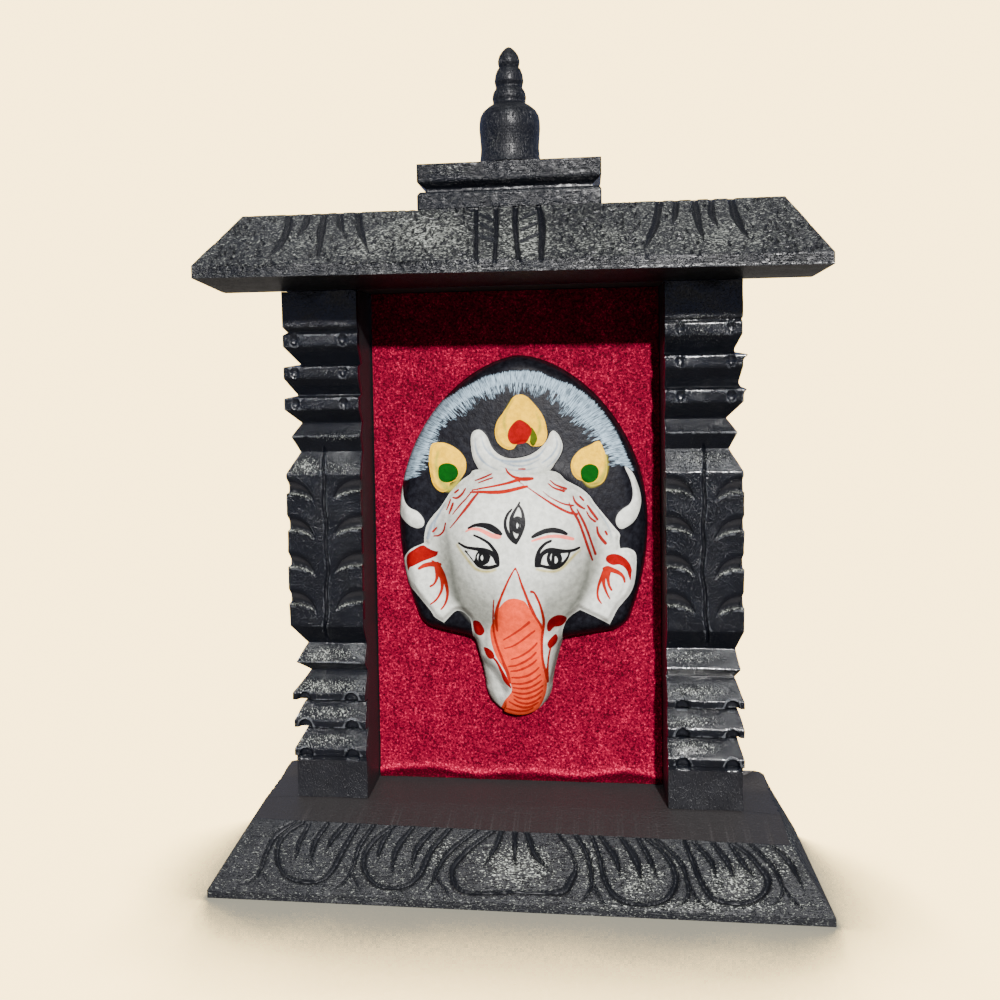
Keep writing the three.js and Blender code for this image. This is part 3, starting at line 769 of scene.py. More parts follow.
def carve_base(places, side_count):
    look = bpy.context.scene.shrine
    front = slice(side_count - 1, places.shape[1] - side_count)
    spots = in_photo(places[:, front])
    slope = np.clip((places[:, front, 2] - BASE_LIP) / 1.2, 0, 1)
    depth = gouged(spots, BASE_CUTS, PIXEL_ON_BASE, look.cut_depth * 1.15) * slope
    lean = np.array([0, BASE_FRONT_SLOPE, 1]) / math.hypot(BASE_FRONT_SLOPE, 1)
    inward = np.array([0, lean[2], -lean[1]])
    places[:, front] += depth[..., None] * inward
    cuts = np.zeros(places.shape[:-1])
    cuts[:, front] = depth
    top = (BASE_TOP - BASE_LIP) * math.hypot(BASE_SIDE_SLOPE, 1)
    for side, columns in ((-1, slice(0, side_count - 1)), (1, slice(places.shape[1] - side_count, -1))):
        strip = places[:, columns]
        up = (strip[..., 2] - BASE_LIP) * math.hypot(BASE_SIDE_SLOPE, 1)
        cut = side_petals(side * (strip[..., 1] - 4), up, top) * np.clip(up / 1.5, 0, 1)
        inward = np.array([-side, 0, -BASE_SIDE_SLOPE]) / math.hypot(BASE_SIDE_SLOPE, 1)
        places[:, columns] += cut[..., None] * inward
        cuts[:, columns] = cut
    return places, smooth_step(cuts, 0.2, 0.9)


def rear_lumps(places):
    """The broken, lumpy wood along the rear corners of the base's top."""
    x, y = places[..., 0], places[..., 1]
    rear = smooth_step(y, 22, 36)
    right = 3.4 * np.exp(-((x - 109) / 4.5) ** 2) + 2.6 * np.exp(-((x - 98) / 4) ** 2)
    left = 2.2 * np.exp(-((x + 108) / 6) ** 2)
    return rear * (right + left)


class SHRINE_OT_base(bpy.types.Operator):
    """Builds the plinth with its lotus petals"""

    bl_idname = "shrine.base"
    bl_label = "Base"

    def execute(self, context):
        wobble = context.scene.shrine.hand_wobble / MM
        places, side_count = base_places()
        front = slice(side_count - 1, places.shape[1] - side_count)
        uncut = places[-1, front].copy()
        places, cuts = carve_base(places, side_count)
        stray = ripple(places, 9, 3) * wobble + ripple(places, 3, 4) * wobble * 0.35
        places[2:, :, 1] += np.where(places[2:, :, 1] < BACK - 1, stray[2:], 0)
        places[0, :, 2] = 0
        rim = places[-1:].copy()
        rim[0, front] = uncut + [0, 0.6, 0]
        level = places[-1:].copy()
        level[..., 1] = np.maximum(level[..., 1], BASE_LEVEL_FROM)
        level[..., 2] = BASE_TOP
        middle = np.array([0, BACK / 2, BASE_TOP])
        shares = (0, 0.015, 0.04, 0.075, 0.12, 0.2, 0.4)
        inner = [level + (middle - level) * share for share in shares]
        slope_rows = len(places)
        places = np.concatenate([places, rim, *inner])
        places[..., 2] += rear_lumps(places) * smooth_step(places[..., 2], BASE_TOP - 9, BASE_TOP)
        piece = laid_grid("base", places)
        dust = np.zeros(places.shape[:-1])
        dust[slope_rows:] = 1
        worn, sunk = worn_edges(places)
        worn[slope_rows - 1:], sunk[slope_rows - 1:] = 0, 0
        worn *= 0.6
        # The petals' cuts get painted shade.
        sunk[:slope_rows] = np.maximum(sunk[:slope_rows], cuts)
        upper = smooth_step(places[..., 2], BASE_TOP - 7, BASE_TOP - 1)
        dry = soft_patches(places, BASE_DRY) * (1 - dust) * (1 - 0.6 * upper)
        finish_wood(piece, "base_plinth", "base", worn=worn, sunk=sunk, dry=dry, dust=dust)
        return {"FINISHED"}


# The posts

class Hand:
    """How one post was cut: its lips' heights, the notches over them, and how far it stands out at the side."""

    def __init__(self, node, side, seed, lifts, notches, side_notches, low_share, spread):
        self.node, self.side, self.seed, self.lifts = node, side, seed, lifts
        self.notches, self.side_notches = notches, side_notches
        self.low_share, self.spread = low_share, spread


POSTS = (
    Hand("post_right", 1, 11, (1.0, 1.9, 1.4), (5.2, 6, 1), (2, 3.8, 0.5), 0.5, (0, 0)),
    Hand("post_left", -1, 23, (0, 0, 0), (5.2, 6.2, 2), (4.9, 6.2, 2), 1, (0.6, 1.9)),
)
LOW_LIPS = (46.3, 59.2, 71.8)               # heights of the lower lips
LIPS = (204.3, 218.2, 232.4)                # and of the upper ones


def post_profile(hand):
    """Up a post's face: how far in its front and its outer side lie, and how high."""
    low = hand.low_share
    points = [(0.8, 0.8, POST_FOOT), (0.8, 0.8, 46)]
    for lip in LOW_LIPS:
        points += [(0, 0, lip), (0, 0, lip + 3.2), (5.3, 5.3 * low, lip + 12.4)]
    points.pop()
    points += [(7, 7 * low, 84), (1.4, 1.4, 88.6), (6.4, 6.4 * low, 96.5), (0, 0, 105.5), (0, 0, 174),
               (5.3, 5.3, 183.5), (2.2, 2.2, 190.5), (6.2, 6.2, 196.5)]
    for lip, lift, notch, side_notch in zip(LIPS, hand.lifts, hand.notches, hand.side_notches):
        lip += lift
        points += [(0, 0, lip - 1.6), (0, 0, lip + 3.4), (notch, side_notch, lip + 4.6)]
    points += [(0, 0, 239.4), (0, 0, POST_TOP)]
    return points


# Patches of dry-brushed specks and painted sheen on the posts' chamfers and lips.
POST_DRY = [
    (325, 655, 34, 7, 0.54), (325, 686, 34, 7, 0.52), (325, 713, 34, 6, 0.44), (322, 741, 34, 6, 0.4),
    (305, 466, 13, 8, 0.62), (340, 468, 24, 8, 0.22), (335, 437, 24, 4, 0.22), (690, 657, 30, 6, 0.4),
    (694, 692, 30, 7, 0.4), (690, 722, 26, 6, 0.42), (690, 748, 26, 6, 0.5), (705, 458, 34, 8, 0.28),
    (320, 340, 30, 60, 0.06), (700, 320, 40, 30, 0.14), (700, 500, 40, 60, 0.07),
]
SPURS = ((223.6, 2.4), (209.4, 2.2))       # splinters on the right post's side: height, reach
SCALE_ROWS = [116 + 16.6 * row for row in range(4)]
SCALE_HALF = 10.5
SCALE_DEPTH = 2.2
GROOVE_HALF = 0.65
GROOVE_STEEP = 2.8                          # how deep the groove is for each millimetre of half width
NOTCH_PLACES = (-9.8, 11.2)                 # across from the post's middle


def scale_cut(across, up, middle, height):
    """A fish-scale cut, with the wood above it sloped down to it, and the painted highlight along the lip left below
    the gouge.
    """
    reach = np.clip(1 - ((across - middle) / SCALE_HALF) ** 2, 0, 1)
    rise = np.sqrt(reach)
    low = height - 5 + 5 * rise
    high = height - 4 + 10.5 * rise
    share = np.clip((high - up) / np.maximum(high - low, 0.1), 0, 1)
    struck = smooth_step(up, low - 0.35, low + 0.1)
    lip = np.exp(-((up - low + 0.5) / 0.48) ** 2) * smooth_step(rise, 0.25, 0.5)
    return (SCALE_DEPTH * rise + 0.2) * share * struck * (reach > 0), lip


def post_face_cuts(across, up, hand):
    """Depths of the cuts on a post's front: the middle groove, fish scales, and the notches in the lips; and the
    scales' painted lip highlights.
    """
    middle = POST_INNER + (POST_OUTER - POST_INNER) / 2
    sway = np.interp(up, [101, 130, 178], [1, -1, 0]) + 0.35 * np.sin(up / 3.1)
    groove = np.clip(GROOVE_HALF - np.abs(across - middle - sway), 0, GROOVE_HALF) * GROOVE_STEEP
    depth = groove * smooth_step(up, 97, 100) * (1 - smooth_step(up, 183, 187))
    bright = np.zeros(depth.shape)
    for height in SCALE_ROWS:
        for middle_of_scale, lift in ((POST_OUTER - 1.5, 0), (POST_INNER + 1.5, 1)):
            scale, lip = scale_cut(across, up, middle_of_scale, height + lift)
            depth, bright = np.maximum(depth, scale), np.maximum(bright, lip)
    for x in np.add(middle, NOTCH_PLACES):
        for lip in np.add(LIPS, hand.lifts):
            spoon = np.clip(1 - ((across - x) / 1.7) ** 2 - ((up - lip - 1.4) / 3) ** 2, 0, None)
            depth = np.maximum(depth, 1.1 * np.sqrt(spoon))
        for lip in LOW_LIPS:
            away = np.hypot(across - x, np.minimum(up - lip - 0.5, 0) * 0.6 + np.maximum(up - lip - 0.5, 0))
            depth = np.maximum(depth, 2.2 * (1 - smooth_step(away, 2.4, 3.2)) * smooth_step(up, lip - 2, lip))
    return depth, bright


def post_places(hand, wobble):
    """Rows of sections up the right post, each round from the inner back corner."""
    profile = soften(post_profile(hand), 0.5, 0.62)
    inner = np.linspace(0, 1, 9)[:-1]
    front = np.linspace(0, 1, 90)[:-1]
    outer = np.linspace(0, 1, 44)[:-1]
    back = np.linspace(0, 1, 5)
    rows = []
    for inset, side_inset, z in profile:
        outer_x = POST_OUTER - side_inset
        corners = [(POST_INNER, BACK), (POST_INNER, POST_FRONT + inset), (outer_x, POST_FRONT + inset),
                   (outer_x, BACK), (POST_INNER, BACK)]
        rows.append(section(corners, (inner, front, outer, back), z))
    places = np.array(rows)
    cut, bright = post_face_cuts(places[..., 0], places[..., 2], hand)
    first, last = len(inner), len(inner) + len(front)
    places[:, first:last + 1, 1] += cut[:, first:last + 1]
    corner_cut = cut[:, last, None] * np.clip(1 - np.arange(5) / 5, 0, 1)
    places[:, last:last + 5, 0] -= corner_cut * 1.1
    places[:, last - 4:last, 0] -= corner_cut[:, :0:-1] * 1.1
    stray = ripple(places, 12, hand.seed) * wobble + ripple(places, 2.6, hand.seed + 1) * wobble * 0.08
    places[:, first:last, 1] += stray[:, first:last] + wobble
    edge = slice(last, last + len(outer))
    places[:, edge, 0] -= stray[:, edge] + wobble
    near_front = slice(first - 2, last + 3)
    places[:, near_front] = eased(places)[:, near_front]
    if hand.side > 0:
        corner = slice(last - 3, last + 12)
        for height, reach in SPURS:
            spur = 0.8 * reach * np.exp(-((places[:, corner, 2] - height) / 1.4) ** 2)
            places[:, corner, 0] += spur
    near, far = hand.spread
    share = (places[..., 0] - POST_INNER) / (POST_OUTER - POST_INNER)
    places[..., 0] += (near + (far - near) * share) * np.interp(places[..., 2], [60, 125], [0.45, 1])
    # The inner faces and the ends get a duller, lighter film; in the fish scales' hollows that film is painted light.
    inner_face = places[..., 0] < POST_INNER + near + 0.01
    scoops = np.zeros(cut.shape)
    scoops[:, first:last] = smooth_step(cut[:, first:last], 0.3, 1.2)
    scoops *= smooth_step(places[..., 2], 104, 110) * (1 - smooth_step(places[..., 2], 172, 178))
    columns = np.arange(places.shape[1])
    bright *= (columns > first) & (columns < last)
    ends = np.where(places[..., 2] < POST_FOOT + 17, 0.16, 0.1 * smooth_step(places[..., 2], 233, 240))
    return places, np.maximum(np.maximum(0.35 * inner_face, 0.3 * scoops), ends), bright


class SHRINE_OT_posts(bpy.types.Operator):
    """Builds the two carved posts"""

    bl_idname = "shrine.posts"
    bl_label = "Posts"

    def execute(self, context):
        wobble = context.scene.shrine.hand_wobble / MM
        for hand in POSTS:
            places, dull, bright = post_places(hand, wobble)
            worn, sunk = worn_edges(places)
            worn *= 0.25 + 0.75 * smooth_step(places[..., 0], POST_INNER + 1, POST_INNER + 3)
            worn *= smooth_step(places[..., 2], 45.6, 46.8)
            places[..., 0] *= hand.side
            piece = laid_grid("right_post" if hand.side > 0 else "left_post", places)
            dry = soft_patches(places, POST_DRY) * (places[..., 1] < POST_FRONT + 8.5)
            # A painted highlight along each fish scale's lip, laid as dry-brushed paint.
            dry = np.maximum(dry, 0.85 * bright)
            finish_wood(piece, hand.node, "post", worn=worn, sunk=sunk, dry=dry, dust=dull)
        return {"FINISHED"}


# The roof

ROOF_STROKES = [
    [(289.5, 213, 7.9), (287, 230, 8.6), (280, 244, 7.3), (265, 260, 0.6)],
    [(309, 212, 6.6), (304, 226, 7.9), (295, 239, 0.6)],
    [(325, 212, 7.3), (321, 232, 9.2), (318, 255, 4.5)],
    [(340, 211, 7.9), (340, 224, 8.6), (345, 234, 1.3)],
    [(358, 211, 7.9), (360, 228, 9.2), (371, 258, 0.6)],
    [(659.5, 200, 7.9), (656, 222, 8.6), (649, 238, 6.6), (642, 251, 0.6)],
    [(676, 200, 6.6), (675, 214, 7.9), (672, 225, 0.6)],
    [(694, 199, 7.9), (698, 220, 9.2), (705, 243, 1.3)],
    [(711, 199, 6.6), (712, 214, 8.6), (719, 228, 0.6)],
    [(731, 198, 7.9), (737, 218, 9.9), (753, 244, 0.6)],
    [(476, 205, 6.6), (476, 234, 5.9), (476, 266, 5.3)],
    [(496, 204, 6.6), (496, 236, 5.9), (494, 266, 5.3)],
    [(516, 204, 6.6), (515, 222, 7.9), (519, 266, 5.9)],
    [(538, 203, 6.6), (542, 226, 9.2), (541, 266, 5.9)],
]
LADDER_BARS = [
    [(479, 213, 5.4), (492, 219, 6.2)],
    [(479, 223, 5.4), (492, 229, 6.2)],
    [(479, 235, 6), (492, 239, 6.4)],
    [(521, 218, 5.4), (536, 211, 6.2)],
    [(521, 229, 5.4), (536, 222, 6.2)],
    [(521, 240.5, 5.4), (537, 233, 6.2)],
]


# Patches of dry-brushed specks and painted sheen on the roof.
ROOF_DRY = [(515, 235, 900, 300, 0.28), (425, 234, 50, 26, 0.95), (370, 246, 40, 14, 0.7), (300, 240, 40, 20, 0.42),
            (525, 238, 34, 30, 0.72), (600, 240, 60, 24, 0.55), (720, 235, 80, 24, 0.5), (480, 268, 90, 6, 0.4)]


ROOF_PITS = [(232, 245, 34, 40, 1.0), (420, 232, 34, 40, 0.9), (595, 230, 45, 40, 0.7), (780, 235, 36, 40, 0.7),
             (320, 225, 60, 30, 0.4), (700, 225, 60, 30, 0.3)]


CHIP_SEED = 5
CHIP_DEPTH = 0.45                           # as a share of a chip's width


def chip_marks():
    """Small chips scattered over the roof's slope between its strokes, in the photograph's pixels."""
    dice = np.random.default_rng(CHIP_SEED)
    marks = []
    for x in np.arange(214, 822, 6.2):
        for y in np.arange(217, 266, 6.0):
            spot = np.array([x, y - (x - 236) * 0.029]) + dice.normal(0, 2.2, 2)
            among_strokes = 268 < x < 374 or 638 < x < 757
            if 470 < x < 550 or dice.random() < (0.75 if among_strokes else 0.3):
                continue
            turn = dice.uniform(0, math.pi)
            reach = dice.uniform(1.4, 3.4)
            arm = np.array([math.cos(turn), 0.8 * math.sin(turn)]) * reach
            marks.append([(*(spot - arm), 2.2), (*(spot + arm), dice.uniform(3.2, 4.8))])
    return marks


def roof_places():
    """Rows of places from the underside, over the fascia and up the slopes, each row from back to back."""
    side = np.linspace(0, 1, 56)
    front = np.linspace(-1, 1, 641)
    across = np.concatenate([np.full(55, -1), front, np.full(55, 1), [-1]])
    forward = np.concatenate([side[:-1], np.ones(641), side[::-1][1:], [0]])
    ahead = smooth_step(forward, 0, 1)
    bottom = ROOF_UNDER + ahead * np.interp(across, [-1, 1], [3.0, 1.3])
    eaves = ROOF_UNDER + FASCIA + ahead * np.interp(across, [-1, 0, 1], [2.6, 1.6, 0.3])
    top_half = np.where(across < 0, ROOF_TOP_HALF + 1.8, ROOF_TOP_HALF + 0.3)
    rows = []
    for up in np.linspace(0, 1, 11)[:-1]:
        y = ROOF_BACK + (ROOF_FRONT - ROOF_BACK) * forward
        rows.append(np.stack([across * ROOF_HALF, y, bottom + (eaves - bottom) * up], -1))
    for up in np.linspace(0, 1, 92):
        half = ROOF_HALF + (top_half - ROOF_HALF) * up
        y = ROOF_BACK + (ROOF_FRONT + (ROOF_TOP_FRONT - ROOF_FRONT) * up - ROOF_BACK) * forward
        rows.append(np.stack([across * half, y, eaves + (ROOF_TOP - eaves) * up], -1))
    return np.array(rows), len(side)


class SHRINE_OT_roof(bpy.types.Operator):
    """Builds the long eave, its strokes and its punch marks"""

    bl_idname = "shrine.roof"
    bl_label = "Roof"

    def execute(self, context):
        look = context.scene.shrine
        wobble = look.hand_wobble / MM
        places, side_count = roof_places()
        front = slice(side_count - 1, places.shape[1] - side_count)
        spots = in_photo(places[:, front])
        above = np.clip((places[:, front, 2] - ROOF_UNDER - FASCIA + 0.8) / 1.5, 0, 1)
        strokes = gouged(spots, ROOF_STROKES, PIXEL_ON_ROOF, look.cut_depth)
        bars = gouged(spots, LADDER_BARS, PIXEL_ON_ROOF, look.cut_depth)
        strokes = np.maximum(strokes, gouged(spots, chip_marks(), PIXEL_ON_ROOF, CHIP_DEPTH))
        # The roof's strokes and ladder bars get painted shade.
        dark = np.maximum(smooth_step(strokes, 0.12, 0.48), smooth_step(bars, 0.3, 0.56)) * above
        depth = np.maximum(strokes, bars) * above
        rise = np.array([0, ROOF_TOP_FRONT - ROOF_FRONT, ROOF_TOP - ROOF_UNDER - FASCIA])
        rise /= np.linalg.norm(rise)
        places[:, front] += depth[..., None] * np.array([0, rise[2], -rise[1]])
        stray = ripple(places, 14, 31) * wobble + ripple(places, 3, 32) * wobble * 0.3
        places[1:, 1:-1, 1] += np.where(places[1:, 1:-1, 1] < ROOF_BACK - 0.5, stray[1:, 1:-1] + wobble, 0)
        under = places[:1].copy()
        under[..., 1] = np.maximum(under[..., 1], POST_FRONT - 1.5)
        under[..., 2] = ROOF_UNDER
        places = np.concatenate([under, places])
        piece = laid_grid("roof_eave", places)
        worn, sunk = worn_edges(places)
        sunk[1:, front] = np.maximum(sunk[1:, front], dark)
        crack = smooth_step(ripple(places[10:12], 22, 37), -0.7, 0.3)
        sunk[10:12] = np.maximum(sunk[10:12], 0.85 * crack)
        sunk[0] = 1
        on_fascia = smooth_step(places[..., 2], ROOF_UNDER + FASCIA + 2.4, ROOF_UNDER + FASCIA + 0.6)
        dry = soft_patches(places, ROOF_DRY) * (1 - 0.55 * on_fascia)
        pitted = soft_patches(places, ROOF_PITS)
        finish_wood(piece, "roof", "roof", worn=0.55 * worn, sunk=sunk, dry=dry, pitted=pitted)
        return {"FINISHED"}


# The ridge block and the turned finial

# Patches of dry-brushed specks and painted sheen on the ridge slabs.
RIDGE_DRY = [(450, 168, 34, 8, 0.2), (510, 198, 140, 10, 0.1), (560, 172, 60, 10, 0.1)]


def block_places(low, high, profile, spacing, counts):
    """Rows of sections up a rectangular block whose front and ends share a profile of (inset, height)."""
    *shares, last = [np.linspace(0, 1, count + 1) for count in counts]
    shares = [share[:-1] for share in shares] + [last]
    rows = []
    for inset, up in soften(profile, 0.6, spacing):
        corners = [(low[0] + inset, high[1]), (low[0] + inset, low[1] + inset), (high[0] - inset, low[1] + inset),
                   (high[0] - inset, high[1]), (low[0] + inset, high[1])]
        rows.append(section(corners, shares, low[2] + up))
    return eased(np.array(rows))


class SHRINE_OT_ridge(bpy.types.Operator):
    """Builds the double slab on the roof"""

    bl_idname = "shrine.ridge"
    bl_label = "Ridge block"

    def execute(self, context):
        wobble = context.scene.shrine.hand_wobble / MM
        height = RIDGE_HIGH[2] - RIDGE_LOW[2]
        profile = [(0, 0), (0, 6.2), (0.9, 7.5), (3.4, 7.9), (3.4, 9.2), (0, 11.8), (0, height)]
        places = block_places(RIDGE_LOW, RIDGE_HIGH + [1.2, 0, 0], profile, 0.6, (40, 120, 40, 8))
        stray = ripple(places, 16, 41) * wobble * 0.5 + ripple(places, 2.4, 42) * wobble * 0.2
        inner = (places[..., 1] < RIDGE_HIGH[1] - 1)
        places[..., 1] += np.where(inner, stray + wobble, 0)
        piece = laid_grid("ridge_slabs", places)
        worn, sunk = worn_edges(places)
        dry = soft_patches(places, RIDGE_DRY)
        finish_wood(piece, "ridge_block", "slab", worn=0.2 * worn, sunk=sunk, dry=dry)
        return {"FINISHED"}


# Patches of dry-brushed specks and painted sheen on the finial.
FINIAL_DRY = [(492, 140, 10, 14, 0.12), (515, 118, 16, 10, 0.08)]


# The turned profile: a foot, a bell, rings and a small cone, as (radius, height).
FINIAL_PROFILE = [
    (14, 0), (13.5, 1.2), (13.1, 3), (12.8, 7), (13, 11), (13.4, 15.5), (13.3, 18.5), (12.9, 21), (11.6, 23.3),
    (9.2, 25.3), (7.3, 26.4), (7.1, 27.3), (7.45, 29.3), (7, 31.6), (5.8, 33.6), (5.8, 34), (6.4, 36.3), (6, 39.3),
    (5.1, 41.6), (4.3, 42.4), (4.7, 43.9), (4.85, 45.3), (4.2, 47.6), (3, 49.4), (1.4, 51), (0.02, 51.6),
]


class SHRINE_OT_finial(bpy.types.Operator):
    """Builds the turned finial"""

    bl_idname = "shrine.finial"
    bl_label = "Finial"

    def execute(self, context):
        profile = soften(FINIAL_PROFILE, 0.9, 0.35)
        turns = np.linspace(0, 2 * math.pi, 121)
        radius, up = profile[:, 0, None], profile[:, 1, None]
        ring_marks = 0.02 * np.sin(up * 5.3) + 0.02 * np.sin(up * 9.1 + 1)
        radius = np.maximum(radius + ring_marks * (radius > 3), 0.02)
        centre = (FINIAL_LOW + FINIAL_HIGH) / 2
        places = np.stack([centre[0] + radius * np.cos(turns), centre[1] + radius * np.sin(turns),
                           FINIAL_LOW[2] + up + 0 * turns], -1)
        piece = laid_grid("turned_finial", places)
        worn, sunk = worn_edges(places)
        dry = soft_patches(places, FINIAL_DRY)
        finish_wood(piece, "finial", "turned", worn=0.15 * worn, sunk=sunk, dry=dry)
        return {"FINISHED"}


# The velvet

class SHRINE_OT_velvet(bpy.types.Operator):
    """Builds the velvet stretched over the backing board"""

    bl_idname = "shrine.velvet"
    bl_label = "Velvet"

    def execute(self, context):
        width = VELVET_HIGH[0] - VELVET_LOW[0]
        height = VELVET_HIGH[2] - VELVET_LOW[2]
        columns, rows = 132, 228
        across = np.linspace(0, 1, columns)[None, :]
        up = np.linspace(0, 1, rows)[:, None]
        x = VELVET_LOW[0] + width * across + 0 * up
        z = VELVET_LOW[2] + height * up + 0 * across
        flat = np.stack([x, z], -1)
        crush = 0.14 * ripple(flat, 6, 51) + 0.12 * ripple(flat, 14, 52)
        hem_height = 3.8 + 1.5 * ripple(flat[..., :1], 34, 53) + 0.2 * ripple(flat[..., :1], 12, 54)
        over_hem = z - VELVET_LOW[2] - hem_height
        hem = np.exp(-(over_hem / 2.4) ** 2)
        y = VELVET_LOW[1] + 0.5 + crush - 1.6 * hem
        places = np.stack([x, y, z], -1)
        piece = laid_grid("velvet_cloth", places)
        # On the hem, a painted highlight along the fold's ridge and painted shade on the roll below it.
        mark(piece, "nap", 0.6 * np.exp(-((over_hem - 1.4) / 1.1) ** 2) - 0.9 * (1 - smooth_step(over_hem, -1.5, 0.8)))
        solidify = piece.modifiers.new("cloth", "SOLIDIFY")
        solidify.thickness = 0.8 * MM
        solidify.offset = -1 if piece.data.polygons[0].normal.y < 0 else 1
        bpy.context.view_layer.objects.active = piece
        bpy.ops.object.modifier_apply(modifier=solidify.name)
        hand_over(piece, "velvet_panel", velvet_cloth(), 60)
        return {"FINISHED"}


# The mask's form. Its hood, head, ears and trunk are heights over the velvet, blended by smooth steps.
MASK_BACK = MASK_HIGH[1]
MASK_WALL = 3
HOOD_X = 3
HOOD_Z = 150
HOOD_HALF = 57
HOOD_RISE = 75.5
HOOD_FOOT = 98
FACE_X = 1.3
HEAD_Z = 142
RIM = 1.5
TRUNK_TIP = 60
TRUNK_X = 0.8
TRUNK_HALF = 15.5

# Outlines of the mask's raised forms, in the photograph's pixels. A doubled point is a corner.
HEAD_OUTLINE = [
    (481, 469.5), (470, 474.5), (460, 482), (452, 490), (446, 499), (440, 508), (433, 516), (427, 525), (424.5, 536),
    (424.5, 543), (424.5, 543), (413, 548), (408, 552), (404.5, 558), (403.3, 566), (405, 577), (409, 584),
    (420, 597.5), (431, 611), (435, 617), (444, 622.5), (444, 622.5), (449, 617), (455.5, 611), (461, 611), (466, 614),
    (471, 621), (473, 635), (476, 642), (477, 654), (475, 664), (473, 675), (474, 688), (478, 700), (486, 712),
    (498, 721), (516, 726), (532, 723), (548, 712), (558, 697), (563, 680), (567, 663), (568, 650), (566, 643),
    (562.5, 638), (562.5, 631), (565.5, 622), (571, 615.5), (580, 609.5), (580, 609.5), (595, 616.5), (609.5, 624),
    (609.5, 624), (612.5, 618.5), (617, 609.5), (623, 602), (630, 593.5), (634, 584), (635.8, 572), (636.3, 560),
    (635, 552.5), (629, 548.5), (620, 548.5), (620, 548.5), (619, 541), (619.5, 534), (613, 526), (604, 515),
    (595, 504), (589, 495.5), (580, 488), (566, 480.5), (549, 470.5),
]
CRESCENT_OUTLINE = [
    (482, 471), (476, 464), (472.5, 455), (471, 444), (471.5, 435), (475, 430.5), (481, 430.5), (487, 437),
    (491.5, 447), (498, 454), (507, 458), (518, 458.2), (530, 455), (540, 448.5), (547.5, 439.5), (550.5, 432.5),
    (554.5, 431), (559.5, 436.5), (562.5, 446), (560, 455), (555.5, 462), (549, 470.5), (535, 474), (500, 474),
]
LEFT_RIBBON = [
    (402, 483), (399.8, 494), (399, 505), (401, 515), (406, 522), (412, 526.5), (418.5, 528), (423, 526),
    (424, 521), (421.5, 516), (417, 511.5), (410, 508), (405.5, 503), (403.3, 496), (402.8, 488),
]
RIGHT_RIBBON = [
    (625, 466), (632, 472), (636.5, 481), (639.5, 490), (641, 499), (640.5, 506), (638, 514), (634, 521),
    (628, 526), (621, 528.8), (617, 525), (616, 519.5), (618, 514), (623, 509), (629, 505), (632, 500),
    (633, 493), (632, 485), (629.5, 477), (626.5, 471),
]
MIDDLE_TEARDROP = [
    (520, 394.5), (513.5, 397), (509, 404), (503, 413), (497, 422), (495, 432), (497, 441), (502, 446.5),
    (508.5, 449.5), (513.5, 448.5), (516.5, 444.5), (522, 442), (528, 443), (532, 446), (541, 445.5), (545.5, 440.5),
    (547, 433), (545, 422), (541, 413), (534, 404), (527, 397),
]
LEFT_TEARDROP = [
    (432, 444), (429.5, 453), (429, 463), (430.5, 474), (433, 484), (438, 490), (443.5, 492), (448.5, 489),
    (450, 483), (455, 481), (460, 479), (465, 472), (466, 464), (464, 457), (458, 450), (449, 444.5), (440, 442.5),
]
RIGHT_TEARDROP = [
    (599, 441), (590, 445), (580, 450), (573, 458), (571, 466), (573, 474), (577.5, 479), (582, 480.5),
    (586, 483), (589, 485), (595, 485.5), (602, 483), (606, 476), (607, 466), (606, 456), (603, 448),
]
TEARDROPS = [MIDDLE_TEARDROP, LEFT_TEARDROP, RIGHT_TEARDROP]
RIBBONS = [LEFT_RIBBON, RIGHT_RIBBON]

# The line where the trunk's front drops to its curled tip, and the tip's own edge.
CURL_FROM, CURL_TO = (474, 652), (514, 716)
CURL_LINE = [(478, 650, 0), (489, 658, 0), (497, 664.5, 0), (503, 673, 0), (511, 689, 0), (508, 700, 0)]

RED_DISC = [(518, 420), (512, 425), (508.5, 431), (508, 438), (511.5, 443.5), (518, 444), (525.5, 442.5),
            (529, 438), (531.5, 431), (530, 426.5), (524, 421.5)]
OLIVE_SLIVER = [(531, 427.5), (535, 432), (537.2, 439), (533.5, 446), (530, 442.5), (530.5, 436)]
LEFT_DISC = [(439.5, 466), (445, 463.3), (451.5, 464), (456, 467), (458.3, 473), (455.5, 479), (450, 482),
             (443.5, 482), (439, 478), (438.3, 471)]
RIGHT_DISC = [(580.7, 471), (584, 466), (590, 464), (596, 466), (598.7, 471), (597.5, 477.5), (593, 482),
              (586.5, 482.5), (582, 479)]
LEFT_EAR_PATCH = [(406.5, 560), (408, 554), (414, 549.5), (420, 546), (424, 545.5), (428, 548), (433, 550.5),
                  (438, 551.5), (438, 551.5), (436.5, 555.5), (430, 558.5), (422, 561.5), (414, 565.5),
                  (409.5, 567.5), (408.5, 570.5), (407.3, 566)]
RIGHT_EAR_PATCH = [
    (606, 560), (607, 556), (612, 554), (618, 554.5), (624, 557.5), (629, 562.5), (631.7, 569), (631.3, 574),
    (630.5, 580.5), (629, 577), (627, 571), (624, 567), (619, 564.5), (613, 565), (608.5, 563),
]
CORAL_PATCH = [
    (505, 601.5), (512, 598.7), (519, 599.5), (525.5, 602.5), (533, 615), (542, 629), (541.5, 650), (543, 668),
    (547, 682), (545, 696), (538, 709), (527, 718), (515, 722), (499, 717), (504, 702), (508.5, 696), (512, 690),
    (509, 679), (503, 668), (495.5, 655), (491, 640), (490.5, 628), (495, 618), (497, 611),
]
